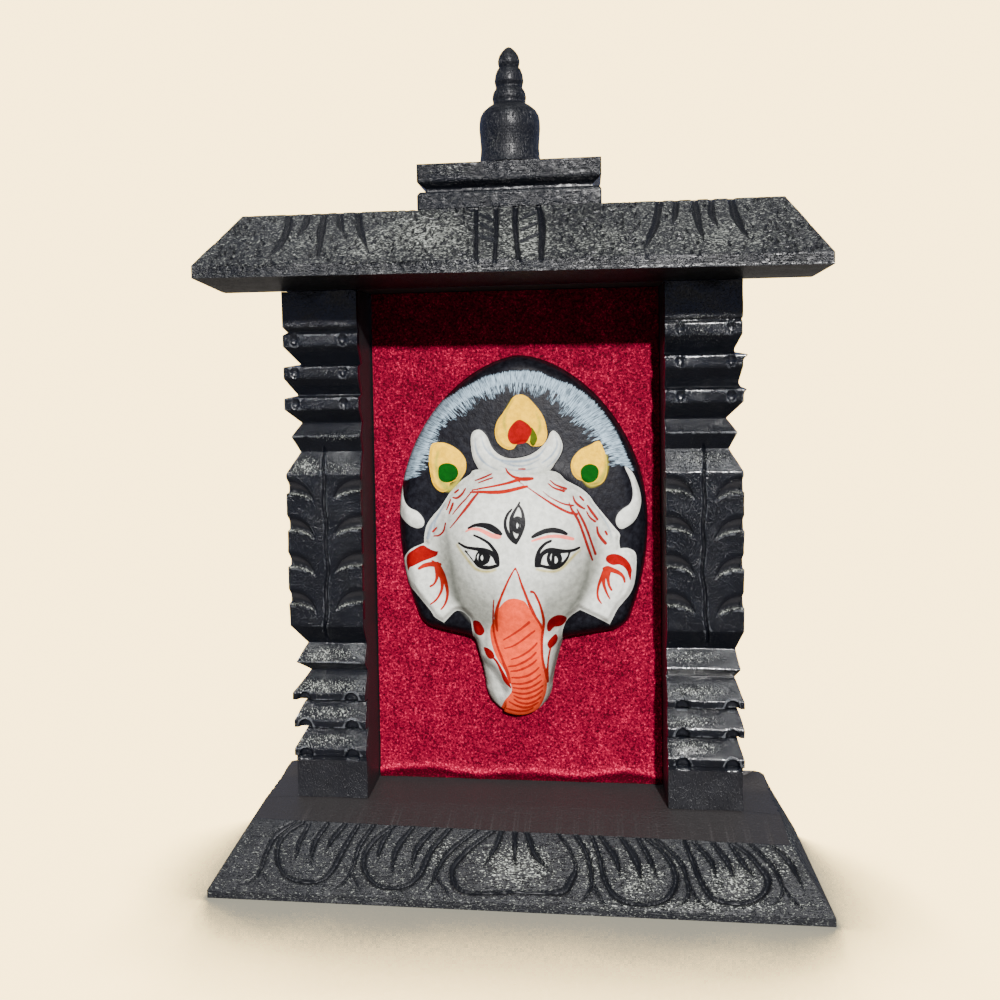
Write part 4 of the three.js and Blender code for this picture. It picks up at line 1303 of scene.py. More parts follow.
TUSK_SPOTS = [
    [(473, 622), (476, 620.5), (480, 622.5), (483.5, 628), (484.3, 632), (482, 635), (478, 635), (474.5, 631)],
    [(484, 647), (490, 649.5), (493.3, 653), (494.3, 657), (491, 659), (487.5, 657), (485, 652)],
    [(547, 627.5), (548, 622), (553, 617), (560, 615), (566.5, 617.5), (564.5, 623), (560, 626), (554, 627),
     (550.5, 631), (548, 631)],
    [(547.3, 644), (549, 640.5), (553, 636), (556, 634), (557.7, 638), (556, 643), (550.5, 648.5), (548.3, 647)],
]

HEADBAND = [
    [(505.5, 468, 1), (508, 472.5, 1.8), (513, 476.5, 2.2), (520, 478.8, 3.4), (527, 479, 3.8), (532.5, 478.5, 2.6)],
    [(472, 490, 1), (485, 487.7, 1.6), (497, 485.5, 2), (508, 483, 2.4), (516, 480.5, 3), (522, 478.8, 2.8)],
    [(470.5, 492.3, 1.4), (480, 492, 2.4), (492, 492.3, 3.4), (503, 491.8, 3.6), (514, 489.5, 3.4), (522, 487.5, 3),
     (527, 486.5, 2.2)],
    [(518.5, 469, 1), (525, 469, 1.5)],
    [(519, 482, 0.9), (523.5, 484.5, 0.9)],
]
HEADBAND_TAILS = [
    [(471, 492.5, 1.4), (466.5, 498, 1.4), (461, 504, 1.5), (455.5, 510.5, 1.3), (452.5, 514.5, 0.9)],
    [(478.5, 492.5, 1.8), (473, 499, 2.8), (467, 507, 3), (461, 514.5, 2.2), (455.5, 521.5, 1.5), (450, 528, 1)],
    [(527, 487, 1.2), (535, 492.5, 1.4), (543, 498, 1.8), (553, 504.5, 2.4), (562, 509.5, 2.6), (570, 513, 2.6),
     (577, 514.2, 2.4)],
    [(543, 491.5, 0.9), (549, 496.5, 1.1), (557, 501, 1.5), (565, 504.3, 1.7), (573.5, 505.5, 1.6)],
    [(569, 502, 0.9), (571, 508, 2), (574.5, 514, 2.6), (578.5, 521, 2.6), (582, 530, 2.6), (585.5, 540, 2.8),
     (588.5, 549, 2.6), (592.5, 560, 1.8)],
    [(577, 509, 1.2), (580, 515, 2.2), (584.5, 524, 2.6), (588.5, 534, 2.4), (592, 544, 2.2), (595.5, 554, 2.6)],
]
CROWN_DASHES = [
    [(475, 480.5, 1.2), (484, 477.3, 2), (491.5, 473.8, 1.4)],
    [(478, 483, 1), (486, 480, 1.6), (492.5, 477.8, 1.6)],
    [(455, 492.5, 2.2), (458.5, 489.8, 1.8)],
    [(453, 497.5, 1.6), (457, 498, 2.2), (462, 494, 2.2), (465.5, 488.5, 1.4)],
    [(446.5, 510, 1.1), (449, 504, 1.6), (450.5, 499.5, 1.4)],
    [(449, 514, 1.2), (451.3, 508, 2.4), (453, 503.2, 2)],
    [(433, 531.5, 2.4), (436.5, 527.8, 1.8)],
    [(434, 536, 1.4), (439, 535.3, 1.8), (443.5, 531, 1.8), (445.5, 523, 1.4)],
    [(550, 480.3, 1.2), (556, 485, 1.8), (566, 488.8, 2.6)],
    [(548, 483.5, 1.2), (554, 488, 1.8), (564, 491.3, 2.4)],
    [(580, 496.5, 2), (583.5, 500.3, 2)],
    [(573, 496, 1.2), (575, 501.5, 2.2), (579.5, 506, 2.6), (584.5, 508.8, 1.8)],
    [(587.5, 505.5, 1.8), (591.5, 511.5, 2.8), (597.5, 519.5, 2.4)],
    [(586.5, 511.5, 1.4), (590, 517.5, 1.8), (595, 521.5, 2.4)],
    [(597, 527, 2), (598, 533, 2.6), (601, 538, 3.2), (605.5, 543.3, 3.2)],
    [(605.5, 531.5, 2.2), (607, 534.5, 2.2)],
]
EAR_STROKES = [
    [(419, 568.5, 2.4), (424, 565.7, 4), (430, 564.3, 4.5), (436, 564.5, 5)],
    [(436, 565, 4), (437, 572, 3.8), (436.5, 579, 2.6), (434, 584, 1.8), (430.5, 586.2, 2)],
    [(437, 566, 5), (440, 573, 4), (441.8, 581, 3), (442, 588, 2.8), (440, 594, 2.2), (436, 600, 1.8),
     (430.5, 604.3, 1.1)],
    [(437.5, 563.5, 3.5), (441, 570, 4), (444, 577, 4), (446.3, 585, 3.4), (447.5, 592, 2.8), (446.8, 599, 2.4),
     (444.5, 605, 1.8), (441, 609.5, 1.3)],
    [(432, 560.5, 1), (435, 563, 3), (440, 564.5, 3)],
    [(604, 568.5, 3), (608, 568.5, 5), (614, 570.7, 4.5), (620, 573.5, 3.6), (623.5, 577.5, 2.6), (624.8, 582, 1.8)],
    [(608.5, 571, 5), (608, 578, 3.4), (609, 585, 2.6), (611.5, 590, 2)],
    [(605, 571, 5), (603.5, 578, 4), (604, 585, 3), (606, 591, 2.2), (608.5, 596.5, 1.6), (610, 599, 1)],
    [(604, 572, 4), (601, 579, 3), (598.5, 586, 2.4), (597.5, 593, 2.2), (598.5, 599, 2), (601.5, 603.5, 1.2)],
]
TRUNK_LINES = [
    [(515.3, 568, 1), (512.5, 572.5, 1.4), (508.5, 580, 1.8), (504, 590, 2.2), (500, 600, 2.4), (497, 609, 3),
     (496, 617, 3), (496.5, 624, 2.4), (497.3, 631, 1.4)],
    [(493.7, 600, 1), (493.2, 610, 1.3), (493, 620, 1.4), (493.6, 630, 1.8), (495.5, 640, 2), (498.7, 650, 2),
     (502.5, 660, 2.2), (505.5, 668, 3), (508, 675, 3), (510, 683, 1.6)],
    [(515.5, 568, 1), (518.5, 575, 1.4), (521, 583, 2), (524.5, 592, 2.4), (528, 601, 2.6), (531.5, 609, 3.2),
     (535, 616, 2.6), (539.5, 623, 2.2), (543, 630, 2.2)],
    [(531.3, 591.8, 2.6), (534, 592.7, 1.8), (537, 598, 2.2), (540, 605, 2.2), (542.5, 614, 2.6), (543.8, 622, 2.6),
     (543, 630, 2.8), (542, 640, 2.4), (542, 650, 2.2), (542.8, 660, 2.2), (544.5, 668, 2.6), (547, 676, 3.2),
     (548, 682, 1.6)],
    [(550.5, 648, 1.4), (549, 655, 1.6), (548, 663, 1.6), (547.7, 671, 1.8), (548, 681, 1.8)],
]
TRUNK_RINGS = [
    [(503.5, 640, 0.9), (512, 635, 1.6), (521, 629, 2), (529, 622.5, 2.6)],
    [(504.5, 648.5, 0.9), (513, 646, 1.4), (522, 640.5, 1.8), (529, 635, 2), (534.5, 631, 1.5)],
    [(511, 659.5, 0.9), (519, 657, 1.6), (527, 652.5, 1.8), (533, 647.5, 1.8), (537, 643, 1.3)],
    [(508.5, 666.5, 1), (516, 665.5, 1.6), (524, 662, 2), (531, 657.5, 2), (536, 652.5, 1.5)],
    [(511, 671.3, 1.1), (518, 670.5, 1.7), (526, 667.5, 2), (532, 664, 1.9), (536.5, 660, 1.3)],
    [(512, 677.5, 1.3), (519, 677.7, 1.7), (527, 676, 2), (534, 672, 1.7), (539, 667.5, 1.2)],
    [(512, 683.5, 1.3), (520, 684, 1.8), (528, 682.5, 2), (535, 679, 1.8), (540.5, 674.5, 1.2)],
    [(513, 687.6, 1.1), (520, 688.6, 1.7), (528, 688.1, 2), (536, 684.6, 1.8), (541.5, 680.5, 1.2)],
    [(512, 691.8, 1.1), (519, 693.5, 1.7), (527, 693.5, 2), (536, 690.2, 1.8), (543, 685.5, 1.3)],
    [(514, 695.7, 1.1), (520, 698.2, 1.7), (527, 698.7, 2), (535, 696, 2), (542.5, 690.5, 1.5)],
    [(514, 699.3, 1.1), (519, 702.3, 1.7), (527, 703.7, 2), (535, 701.2, 1.9), (541, 697, 1.4)],
    [(509, 701.7, 1), (516, 705.4, 1.6), (524, 707.6, 2), (532, 706, 1.9), (538, 702.5, 1.3)],
    [(505, 707.8, 1), (512, 710, 1.5), (520, 711.2, 1.7), (528, 710.2, 1.5), (533, 707.8, 1.1)],
]
RED_TRUNK_LINE = [[(491, 657, 2), (494.5, 659, 1.8), (498, 664, 2.2), (502, 672, 3), (506, 680.5, 4.2),
                   (511, 688, 1)]]

BROWS = [
    [(468.5, 528, 1.2), (475, 525.3, 2.4), (483, 525.2, 4.2), (490, 527.3, 6), (496, 530.8, 5.5), (500.8, 533.9, 2.6)],
    [(532.5, 537, 2), (538, 534, 3.6), (546, 531, 4.2), (554, 530.3, 4.4), (561, 531.5, 3.8), (566.3, 533.8, 2.2)],
]
BROW_SHADES = [
    [(466, 531.5, 1.6), (470, 529.3, 2.2), (478, 529.3, 3.2), (485, 532.2, 3.8), (492, 535.7, 4.6), (498, 537, 4),
     (500.5, 536.6, 2)],
    [(532, 541, 1.8), (540, 538.5, 2.4), (549, 536.5, 3), (558, 536.3, 3.4), (566, 537.5, 3.6), (573, 539, 3)],
]
EYE_LINES = [
    # The viewer's left eye: fold, upper lid, lower lid.
    [(474, 535.3, 1.1), (481, 538.5, 1.6), (488, 542.8, 2), (493, 548.5, 2.4), (496.8, 555, 2.8), (498, 562, 2.6),
     (498.2, 565.3, 1.8)],
    [(458.7, 543, 1.1), (465, 546.8, 1.7), (471, 548.2, 2.2), (478, 549.2, 2.8), (485, 550.6, 4), (491, 553, 3.6),
     (494.5, 557.5, 2.8), (496.5, 562, 3)],
    [(465.5, 551, 1), (469, 554.5, 1.4), (473.5, 560, 1.8), (478, 565.2, 2.4), (484, 567.6, 2.8), (490, 567.6, 2.8),
     (495, 566.3, 2.6), (498.3, 565.5, 1.8)],
    # The viewer's right eye.
    [(550.7, 541, 1.8), (545.5, 543.5, 2), (540.5, 548.5, 2.4), (537.8, 554, 2.8), (536.6, 560, 3.2),
     (536.2, 565.6, 2.6)],
    [(579.3, 547.6, 1.4), (574, 550, 2), (567, 551.2, 2.6), (560, 551, 3.4), (553, 550, 3.6), (547, 550.8, 3.8),
     (542, 554.5, 3.4), (539.2, 559.5, 4.4), (538.3, 564.8, 4)],
    [(536, 566, 2.2), (541.5, 566, 2.2), (547, 567.3, 2.4), (554, 568, 2.8), (560, 566, 2.4), (565, 561.3, 2),
     (568, 556.5, 1.5), (569.5, 552.5, 1.2)],
    # The third eye: its two sides, the arc beside it and its foot.
    [(519.5, 502.5, 0.9), (518, 505.5, 1.1), (515, 510.5, 1.8), (511.8, 517, 2.8), (510.7, 525, 2.8),
     (511.5, 533, 2.4), (514, 539.5, 2.4), (516, 543.5, 1.4)],
    [(518.5, 504.5, 1), (522, 511, 1.8), (523.3, 518, 2.6), (523.3, 525, 3.2), (521.5, 532, 2.6), (518.5, 538.5, 2.4),
     (516, 543.5, 1.5)],
    [(511.5, 509.5, 1), (507.5, 514.5, 1.8), (505.2, 521, 2), (505.5, 528, 2.4), (508.3, 535, 2.8), (512, 540, 2.6),
     (516, 543.5, 1.6)],
    [(514, 539.5, 2), (516.3, 540.5, 3), (518, 539, 2)],
]
IRISES = [
    [(475.6, 558.5), (477.5, 552.5), (482.5, 550.2), (487.5, 552.5), (490.3, 558.5), (488, 564.5), (483, 566.8),
     (478, 564.5)],
    [(547, 558.7), (549, 552.7), (554, 550.2), (559.5, 552.7), (561.8, 558.7), (559.5, 564.7), (554.3, 567.3),
     (549, 564.7)],
    [(517.5, 516.5), (513.5, 519), (511.5, 525), (513.5, 531), (517.5, 533.5), (521.5, 531), (523, 525), (521.5, 519)],
]
EYE_GLINTS = [
    [(478.8, 553.6, 0.8), (477.7, 557, 1.6), (478.3, 561.3, 0.8)],
    [(482, 555.4, 1.2), (481.9, 558, 2.6), (482, 560.2, 1.4)],
    [(551.7, 553.8, 0.8), (550.7, 557.5, 1.6), (551.3, 561.8, 0.8)],
    [(555.5, 557, 1.7), (556.3, 560.4, 3.3), (555.4, 563, 1.4)],
    [(517.3, 523, 1), (517.4, 525.5, 2.4), (517.2, 528, 1)],
    [(519.7, 523.5, 0.8), (519.9, 527, 0.9)],
]
EYE_WHITES = [
    [(467.5, 552), (473.8, 551.6), (474.6, 556), (474.3, 561), (471, 557)],
    [(490.8, 556.5), (493.2, 560), (493.6, 563.2), (487.5, 565.4), (483, 565.6), (488.5, 562.5)],
    [(545.8, 555.8), (546, 561), (547.5, 565.5), (543.5, 564), (543.5, 560)],
    [(561, 554), (567.8, 553.8), (566, 558), (562.3, 562), (562.3, 557.5)],
]
CRESCENT_STREAKS = [
    [(475, 438, 1), (476, 449, 2), (481, 459, 2.4), (489, 466, 1.6), (498, 470, 0.6)],
    [(481, 436, 0.8), (484, 446, 1.6), (491, 455, 2), (501, 461, 1.2), (512, 464, 0.6)],
    [(487, 446, 0.8), (494, 456, 1.4), (505, 463, 1.8), (517, 466, 2), (529, 464.5, 1.6), (540, 459, 0.8)],
    [(489, 452, 0.8), (499, 459.5, 2.2), (512, 461.5, 2.6), (526, 460.5, 2.6), (538, 456, 2.2), (546, 447, 1)],
    [(500, 466, 0.6), (512, 470, 1.4), (526, 470, 1.4), (538, 467, 0.6)],
    [(556, 437, 0.8), (557, 446, 1.6), (551, 456, 2), (542, 463, 1.2)],
    [(561, 441, 0.8), (560, 451, 1.4), (555, 460, 1.6), (547, 467, 0.8)],
    # Bluish painted shade beside the head's two sides.
    [(436, 517, 1), (431, 527, 3), (428, 538, 3.5)],
    [(445, 503, 1), (440, 512, 2), (435, 522, 2.4), (434, 534, 1.2)],
    [(590, 502, 0.8), (600, 514, 1.6), (608, 526, 1.6), (612, 538, 0.8)],
]
# Painted shade along the teardrops' rims.
DROP_RIMS = [
    [(438, 452, 3), (436, 464, 4), (440, 478, 6), (447, 488, 7), (456, 484, 5), (461, 472, 2)],
    [(606, 455, 2), (606, 468, 4), (600, 480, 6), (590, 485, 4), (582, 478, 2)],
    [(512, 400, 1), (506, 412, 2), (504, 424, 3), (508, 436, 2)],
    [(536, 412, 1), (540, 424, 3), (538, 434, 3)],
]
EYE_SHADES = [
    [(457, 544.5, 2), (461, 551, 2.6), (466, 557.5, 3), (471, 564, 3.2), (476, 569, 3.2), (483, 571.4, 3.2),
     (490, 571.4, 3.2), (495.5, 569.8, 2.4)],
    [(537, 569.3, 2.6), (545, 571, 2.8), (554, 571.5, 3), (561.5, 568.5, 3.2), (568, 562, 3.2), (573.5, 556, 3),
     (580, 550, 2)],
]
GREY_SHADES = [
    # Painted shade in the trunk's curl and down its right side.
    [(486, 660, 5), (494, 668, 8), (501, 679, 8), (507, 690, 5)],
    [(560, 640, 3), (557, 652, 3), (554, 668, 2), (550, 679, 1)],
    # Painted shade beside the face, under its cheeks, and beside the crown.
    [(446, 530, 2), (449, 550, 4), (452, 572, 6), (456, 592, 7), (462, 606, 5), (472, 620, 2)],
    [(590, 545, 2), (589, 565, 4), (584, 585, 6), (577, 600, 6), (568, 611, 3)],
    [(443, 516, 2), (437, 528, 3), (430, 542, 2)],
    [(598, 515, 1), (608, 530, 3), (612, 542, 2)],
    [(486, 628, 2), (487, 645, 2)],
]

# The silver fringe: a band inside the hood's edge, brushed in towards the face.
FRINGE_OUTER = [
    (404.5, 479), (405, 470), (408, 459), (411.5, 448), (416, 436), (422, 423.5), (430, 411.5), (439, 403),
    (446, 398.5), (453, 394.5), (461, 389), (470, 384.5), (478, 380), (487, 376), (498, 373.5), (508, 371.5),
    (519, 370.7), (529, 370.7), (540, 372.5), (549, 376.5), (559, 380.5), (568, 383.5), (577, 388.5), (585, 394),
    (593, 400.5), (601, 409), (609, 420), (616, 431), (621, 441.5), (625.5, 452), (630, 462), (633, 470),
]
FRINGE_INNER = [
    (622, 464), (614, 456), (607, 446), (600, 436), (592, 427), (583, 418.5), (572, 409), (562, 400), (554, 391.5),
    (543, 386.5), (530, 384), (516, 383), (502, 385.5), (491, 388.5), (479, 394), (467, 400), (457, 406.5),
    (447, 415), (438, 426), (432, 438), (427, 451), (420, 464), (411, 478),
]


FRINGE_AIM = (517, 470)         # where its hairs point
FRINGE_SEED = 71
FACE_SPOT = (518, 540)          # the middle of the face


def fringe_hairs():
    """The fringe's brush marks: thin strokes that leave its inner edge, pointing at the brow."""
    dice = np.random.default_rng(FRINGE_SEED)
    line = curve_through(FRINGE_INNER, steps=24)
    aim = np.array(FRINGE_AIM)
    hairs = []
    for spot in line[::2]:
        start = spot + dice.normal(0, 1.0, 2)
        inward = (aim - start) / np.linalg.norm(aim - start)
        side = np.array([-inward[1], inward[0]])
        bunch = 0.5 + 0.5 * math.sin(spot[0] * 0.29 + spot[1] * 0.17)
        reach = dice.uniform(1, 7) + 6 * bunch
        end = start + inward * reach + side * dice.normal(0, 1.2)
        hairs.append([(*(start - inward * 5), 2.2), (*((start + end) / 2), 1.3), (*end, 0.3)])
    return hairs


def mask_outline():
    """The mask's edge, in millimetres: the hood's two sides and the trunk's round end below it."""
    up = np.linspace(0, 1, 160)
    arch = HOOD_Z + HOOD_RISE * np.sin(up * math.pi / 2)
    arch_half = HOOD_HALF * (1 - ((arch - HOOD_Z) / HOOD_RISE) ** 2) ** 0.6
    side = np.linspace(HOOD_FOOT, HOOD_Z, 110)[:-1]
    corner = 1 - np.clip((side - HOOD_FOOT) / 7, 0, 1)
    side_half = HOOD_HALF - 11.4 * ((HOOD_Z - side) / 52) ** 2 - 6 * corner ** 2
    turn = np.linspace(0, math.pi / 2, 60)
    tip_z = TRUNK_TIP + TRUNK_HALF - TRUNK_HALF * np.cos(turn)
    tip_half = TRUNK_HALF * np.sin(turn)
    neck_z = np.linspace(TRUNK_TIP + TRUNK_HALF, HOOD_FOOT, 50)[1:]
    neck_half = TRUNK_HALF + 5.5 * ((neck_z - TRUNK_TIP - TRUNK_HALF) / 22) ** 1.2
    trunk_z = np.concatenate([tip_z, neck_z])
    trunk_half = np.concatenate([tip_half, neck_half])
    hood_z = np.concatenate([side, arch])
    hood_half = np.concatenate([side_half, arch_half])
    right = np.vstack([np.column_stack([TRUNK_X + trunk_half, trunk_z]), np.column_stack([HOOD_X + hood_half, hood_z])])
    left = np.vstack([np.column_stack([TRUNK_X - trunk_half, trunk_z]), np.column_stack([HOOD_X - hood_half, hood_z])])
    ring = np.vstack([right, left[::-1][1:-1]])
    for _ in range(14):
        ring = (np.roll(ring, 1, axis=0) + 2 * ring + np.roll(ring, -1, axis=0)) / 4
    return ring


def dome(x, z, centre_x, centre_z, reach_x, reach_z):
    return np.clip(1 - ((x - centre_x) / reach_x) ** 2 - ((z - centre_z) / reach_z) ** 2, 0, None)


def mask_height(x, z, inside):
    """The mask's height over its back, without the relief inside the painted forms."""
    hood = 12 * (1 - (1 - np.clip(inside / 9, 0, 1)) ** 2.4) ** (1 / 2.4)
    crown = 4 * np.sqrt(dome(x, z, FACE_X, HOOD_Z, 52, 68))
    face_reach = np.where(z > HEAD_Z, 34, 43)
    bulge = 1 - ((x - FACE_X - 1) / 34) ** 2 - ((z - HEAD_Z) / face_reach) ** 2
    bulge = (bulge + np.sqrt(bulge ** 2 + 0.03)) / 2
    head = 14.5 * np.sqrt(bulge) - 2.5
    tip_z = TRUNK_TIP + TRUNK_HALF
    down = np.clip(tip_z - z, 0, None)
    half = np.interp(z, [tip_z, 98, 112, 128, 140], [TRUNK_HALF, 19.5, 16, 9, 5])
    out = np.hypot((x - TRUNK_X) / half, down / TRUNK_HALF)
    blunt = np.interp(z, [80, 100], [2.8, 2])
    front = np.interp(z, [TRUNK_TIP, 72, 80, 90, 98, 112, 124, 136, 146, 153],
                      [11, 14.5, 17.2, 20.2, 22, 25.5, 26.5, 24, 14, 0])
    trunk = front * np.clip(1 - out ** blunt, 0, 1) ** (1 / blunt)
    body = hood + crown + head
    blend_reach = 2.5
    return RIM + (body + trunk + np.sqrt((body - trunk) ** 2 + blend_reach ** 2) - blend_reach) / 2


def mask_relief(spots):
    """The relief of the head, crescent, teardrops, ribbons and the trunk's curl, from their painted edges."""
    head = patches_field(spots, [HEAD_OUTLINE])
    crescent = patches_field(spots, [CRESCENT_OUTLINE])
    drops = patches_field(spots, TEARDROPS)
    ribbons = patches_field(spots, RIBBONS)
    lift = 2.4 * (1 - smooth_step(head, -5, 0.5))
    lift = np.maximum(lift, 3.2 * np.sqrt(np.clip(-crescent / 9, 0, 1)))
    lift += 0.9 * (1 - smooth_step(drops, -3, 0)) + 1.6 * np.sqrt(np.clip(-ribbons / 7, 0, 1))
    curl = curve_through(CURL_LINE)
    near = np.nonzero(((spots > CURL_FROM) & (spots < CURL_TO)).all(-1))
    spot = spots[near]
    best = np.full(len(spot), 99.0)
    below = np.zeros(len(spot), dtype=bool)
    for start, end in zip(curl, curl[1:]):
        run = end[:2] - start[:2]
        share = np.clip((spot - start[:2]) @ run / (run @ run), 0, 1)
        offset = spot - start[:2] - share[:, None] * run
        away = np.linalg.norm(offset, axis=1)
        left = run[0] * offset[:, 1] - run[1] * offset[:, 0] > 0
        below = np.where(away < best, left, below)
        best = np.minimum(best, away)
    drop = np.zeros(spots.shape[:-1])
    drop[near] = np.where(below, 3.4 * smooth_step(best, 0, 9), 0)
    return lift - drop


def blurred(field, reach):
    """A field averaged twice over squares of the given half width."""
    for axis in (0, 1, 0, 1):
        padded = np.pad(field, [(reach + 1, reach) if side == axis else (0, 0) for side in (0, 1)], mode="edge")
        total = np.cumsum(padded, axis=axis)
        span = 2 * reach + 1
        field = (np.take(total, range(span, total.shape[axis]), axis) -
                 np.take(total, range(total.shape[axis] - span), axis)) / span
    return field


def grey_wash(height, spacing, spots):
    """Painted shade: grey laid in the hollows, on steep and downward sides, round the face's lower sides and on the
    trunk's tip.
    """
    down, across = np.gradient(height, spacing)
    steep = smooth_step(np.hypot(down, across), 0.25, 1.3)
    low_side = smooth_step(down, 0.05, 0.8)
    hollow = smooth_step(blurred(height, int(9 / spacing)) - height, 0.3, 3.5)
    gathered = 0.45 * steep + 0.5 * low_side + 0.5 * hollow
    trunk_front = smooth_step(spots[..., 1], 585, 600) * (1 - smooth_step(np.abs(spots[..., 0] - 520), 16, 26))
    round_face = np.hypot((spots[..., 0] - FACE_SPOT[0]) / 70, (spots[..., 1] - FACE_SPOT[1]) / 72)
    face = smooth_step(round_face, 0.35, 1.08) * (1 - smooth_step(round_face, 1.12, 1.4))
    face *= 0.2 + 0.6 * smooth_step(spots[..., 1], 500, 575)
    tip = 0.4 * smooth_step(spots[..., 1], 655, 705) * smooth_step(spots[..., 0], 500, 512)
    return np.clip((gathered + face) * (1 - 0.85 * trunk_front) + tip, 0, 1)


def mask_fields(spots):
    """For each paint, how far outside its marks each spot lies, in pixels."""
    silver = patches_field(spots, [FRINGE_OUTER + FRINGE_INNER])
    silver = np.minimum(silver, strokes_field(spots, fringe_hairs(), 2))
    white = patches_field(spots, [HEAD_OUTLINE, CRESCENT_OUTLINE, *RIBBONS])
    return {
        "gesso": white,
        "silver": silver,
        "frost": strokes_field(spots, CRESCENT_STREAKS),
        "straw": patches_field(spots, TEARDROPS),
        "ochre": strokes_field(spots, DROP_RIMS),
        "sage": strokes_field(spots, EYE_SHADES),
        "shade": strokes_field(spots, GREY_SHADES),
        "coral": patches_field(spots, [CORAL_PATCH]),
        "pink": strokes_field(spots, BROW_SHADES),
        "green": patches_field(spots, [LEFT_DISC, RIGHT_DISC]),
        "olive": patches_field(spots, [OLIVE_SLIVER]),
        "scarlet": np.minimum(patches_field(spots, [RED_DISC, LEFT_EAR_PATCH, RIGHT_EAR_PATCH, *TUSK_SPOTS]),
                              strokes_field(spots, RED_TRUNK_LINE)),
        "rust": strokes_field(spots, HEADBAND + EAR_STROKES + TRUNK_LINES + TRUNK_RINGS),
        "brown": strokes_field(spots, HEADBAND_TAILS + CROWN_DASHES),
        "ink": np.minimum(strokes_field(spots, BROWS + EYE_LINES), patches_field(spots, IRISES)),
        "glint": np.minimum(strokes_field(spots, EYE_GLINTS), patches_field(spots, EYE_WHITES)),
    }


EDGE_REACH = 3.0                # millimetres inside the outline over which the grid is drawn out to it
SKIN_SPACING = 0.43             # millimetres between the places of the outer skin
INNER_SPACING = 2.4             # and of the inner skin, which is plain


def mask_skin(name, spacing, inset, thin):
    """One skin of the mask: a grid trimmed to the outline, its edge laid exactly on it, raised to its heights."""
    ring = mask_outline()
    xs = np.arange(MASK_LOW[0] - 1, MASK_HIGH[0] + 1 + spacing, spacing)
    zs = np.arange(MASK_LOW[2] - 1, MASK_HIGH[2] + 1 + spacing, spacing)
    grid_x, grid_z = np.meshgrid(xs, zs)
    spots = np.stack([grid_x, grid_z], -1).reshape(-1, 2)
    inside, nearest = to_outline(spots, ring)
    inside -= inset
    rows, columns = grid_x.shape
    solid = (inside > spacing * 0.3).reshape(rows, columns)
    cells = solid[:-1, :-1] & solid[1:, :-1] & solid[:-1, 1:] & solid[1:, 1:]
    whole = np.zeros((rows + 1, columns + 1), dtype=bool)
    whole[1:-1, 1:-1] = cells
    around = np.sum([whole[:-1, :-1], whole[1:, :-1], whole[:-1, 1:], whole[1:, 1:]], axis=0)
    edge = ((around > 0) & (around < 4)).ravel()
    away = np.maximum(inside, 0)
    pulled = np.where(away < EDGE_REACH, EDGE_REACH * (away / EDGE_REACH) ** 1.35, away)
    pulled[edge] = 0
    outward = (nearest - spots) / np.maximum(np.linalg.norm(nearest - spots, axis=1, keepdims=True), 1e-9)
    spots = spots + outward * (away - pulled)[:, None]
    height = np.maximum(mask_height(spots[:, 0], spots[:, 1], pulled) - thin, 0.05)
    height = height.reshape(rows, columns)
    inner = ~edge.reshape(rows, columns)
    for _ in range(10 if thin == 0 else 0):
        mean = (height[:-2, 1:-1] + height[2:, 1:-1] + height[1:-1, :-2] + height[1:-1, 2:]) / 4
        height[1:-1, 1:-1] = np.where(inner[1:-1, 1:-1], (height[1:-1, 1:-1] + mean) / 2, height[1:-1, 1:-1])
    height = height.ravel()
    places = np.column_stack([spots[:, 0], MASK_BACK - height, spots[:, 1]])
    if thin == 0:
        for _ in range(3):
            relief = mask_relief(in_photo(places)) * smooth_step(pulled, 0, 2)
            places[:, 1] = MASK_BACK - height - relief
    piece = laid_grid(name, places.reshape(rows, columns, 3))
    if thin == 0:
        spots = in_photo(places)
        for paint, field in mask_fields(spots).items():
            mark(piece, paint, field)
        from_brow = spots - FRINGE_AIM
        mark(piece, "turn", 100 * np.arctan2(from_brow[:, 0], -from_brow[:, 1]))
        mark(piece, "reach", 0.12 * np.linalg.norm(from_brow, axis=1))
        # Painted shade in the hollows, on the steep and downward sides and round the face.
        mark(piece, "wash", grey_wash(height.reshape(rows, columns), spacing, spots.reshape(rows, columns, 2)))
    edit(piece, "FACE")
    leave_edit()
    piece.data.polygons.foreach_set("select", ~cells.ravel())
    bpy.ops.object.mode_set(mode="EDIT")
    bpy.ops.mesh.delete(type="FACE")
    leave_edit()
    return piece


class SHRINE_OT_mask(bpy.types.Operator):
    """Builds the hollow mask and its painting"""

    bl_idname = "shrine.mask"
    bl_label = "Mask"

    def execute(self, context):
        piece = mask_skin("painted_mask", SKIN_SPACING, 0, 0)
        inner = mask_skin("mask_inside", INNER_SPACING, MASK_WALL, MASK_WALL)
        edit(piece, "EDGE")
        bpy.ops.mesh.select_non_manifold()
        bpy.ops.mesh.extrude_edges_move()
        leave_edit()
        chosen = np.zeros(len(piece.data.vertices), dtype=bool)
        piece.data.vertices.foreach_get("select", chosen)
        coords = np.zeros(len(chosen) * 3)
        piece.data.vertices.foreach_get("co", coords)
        coords = coords.reshape(-1, 3)
        coords[chosen, 1] = MASK_BACK * MM
        piece.data.vertices.foreach_set("co", coords.ravel())
        bpy.ops.object.select_all(action="DESELECT")
        inner.select_set(True)
        piece.select_set(True)
        context.view_layer.objects.active = piece
        bpy.ops.object.join()
        edit(piece, "EDGE")
        bpy.ops.mesh.select_non_manifold()
        bpy.ops.mesh.bridge_edge_loops()
        bpy.ops.mesh.select_all(action="SELECT")
        bpy.ops.mesh.normals_make_consistent(inside=False)
        leave_edit()
        hand_over(piece, "mask", mask_paint(), 60)
        return {"FINISHED"}


# The plain pieces, which keep their CAD shapes

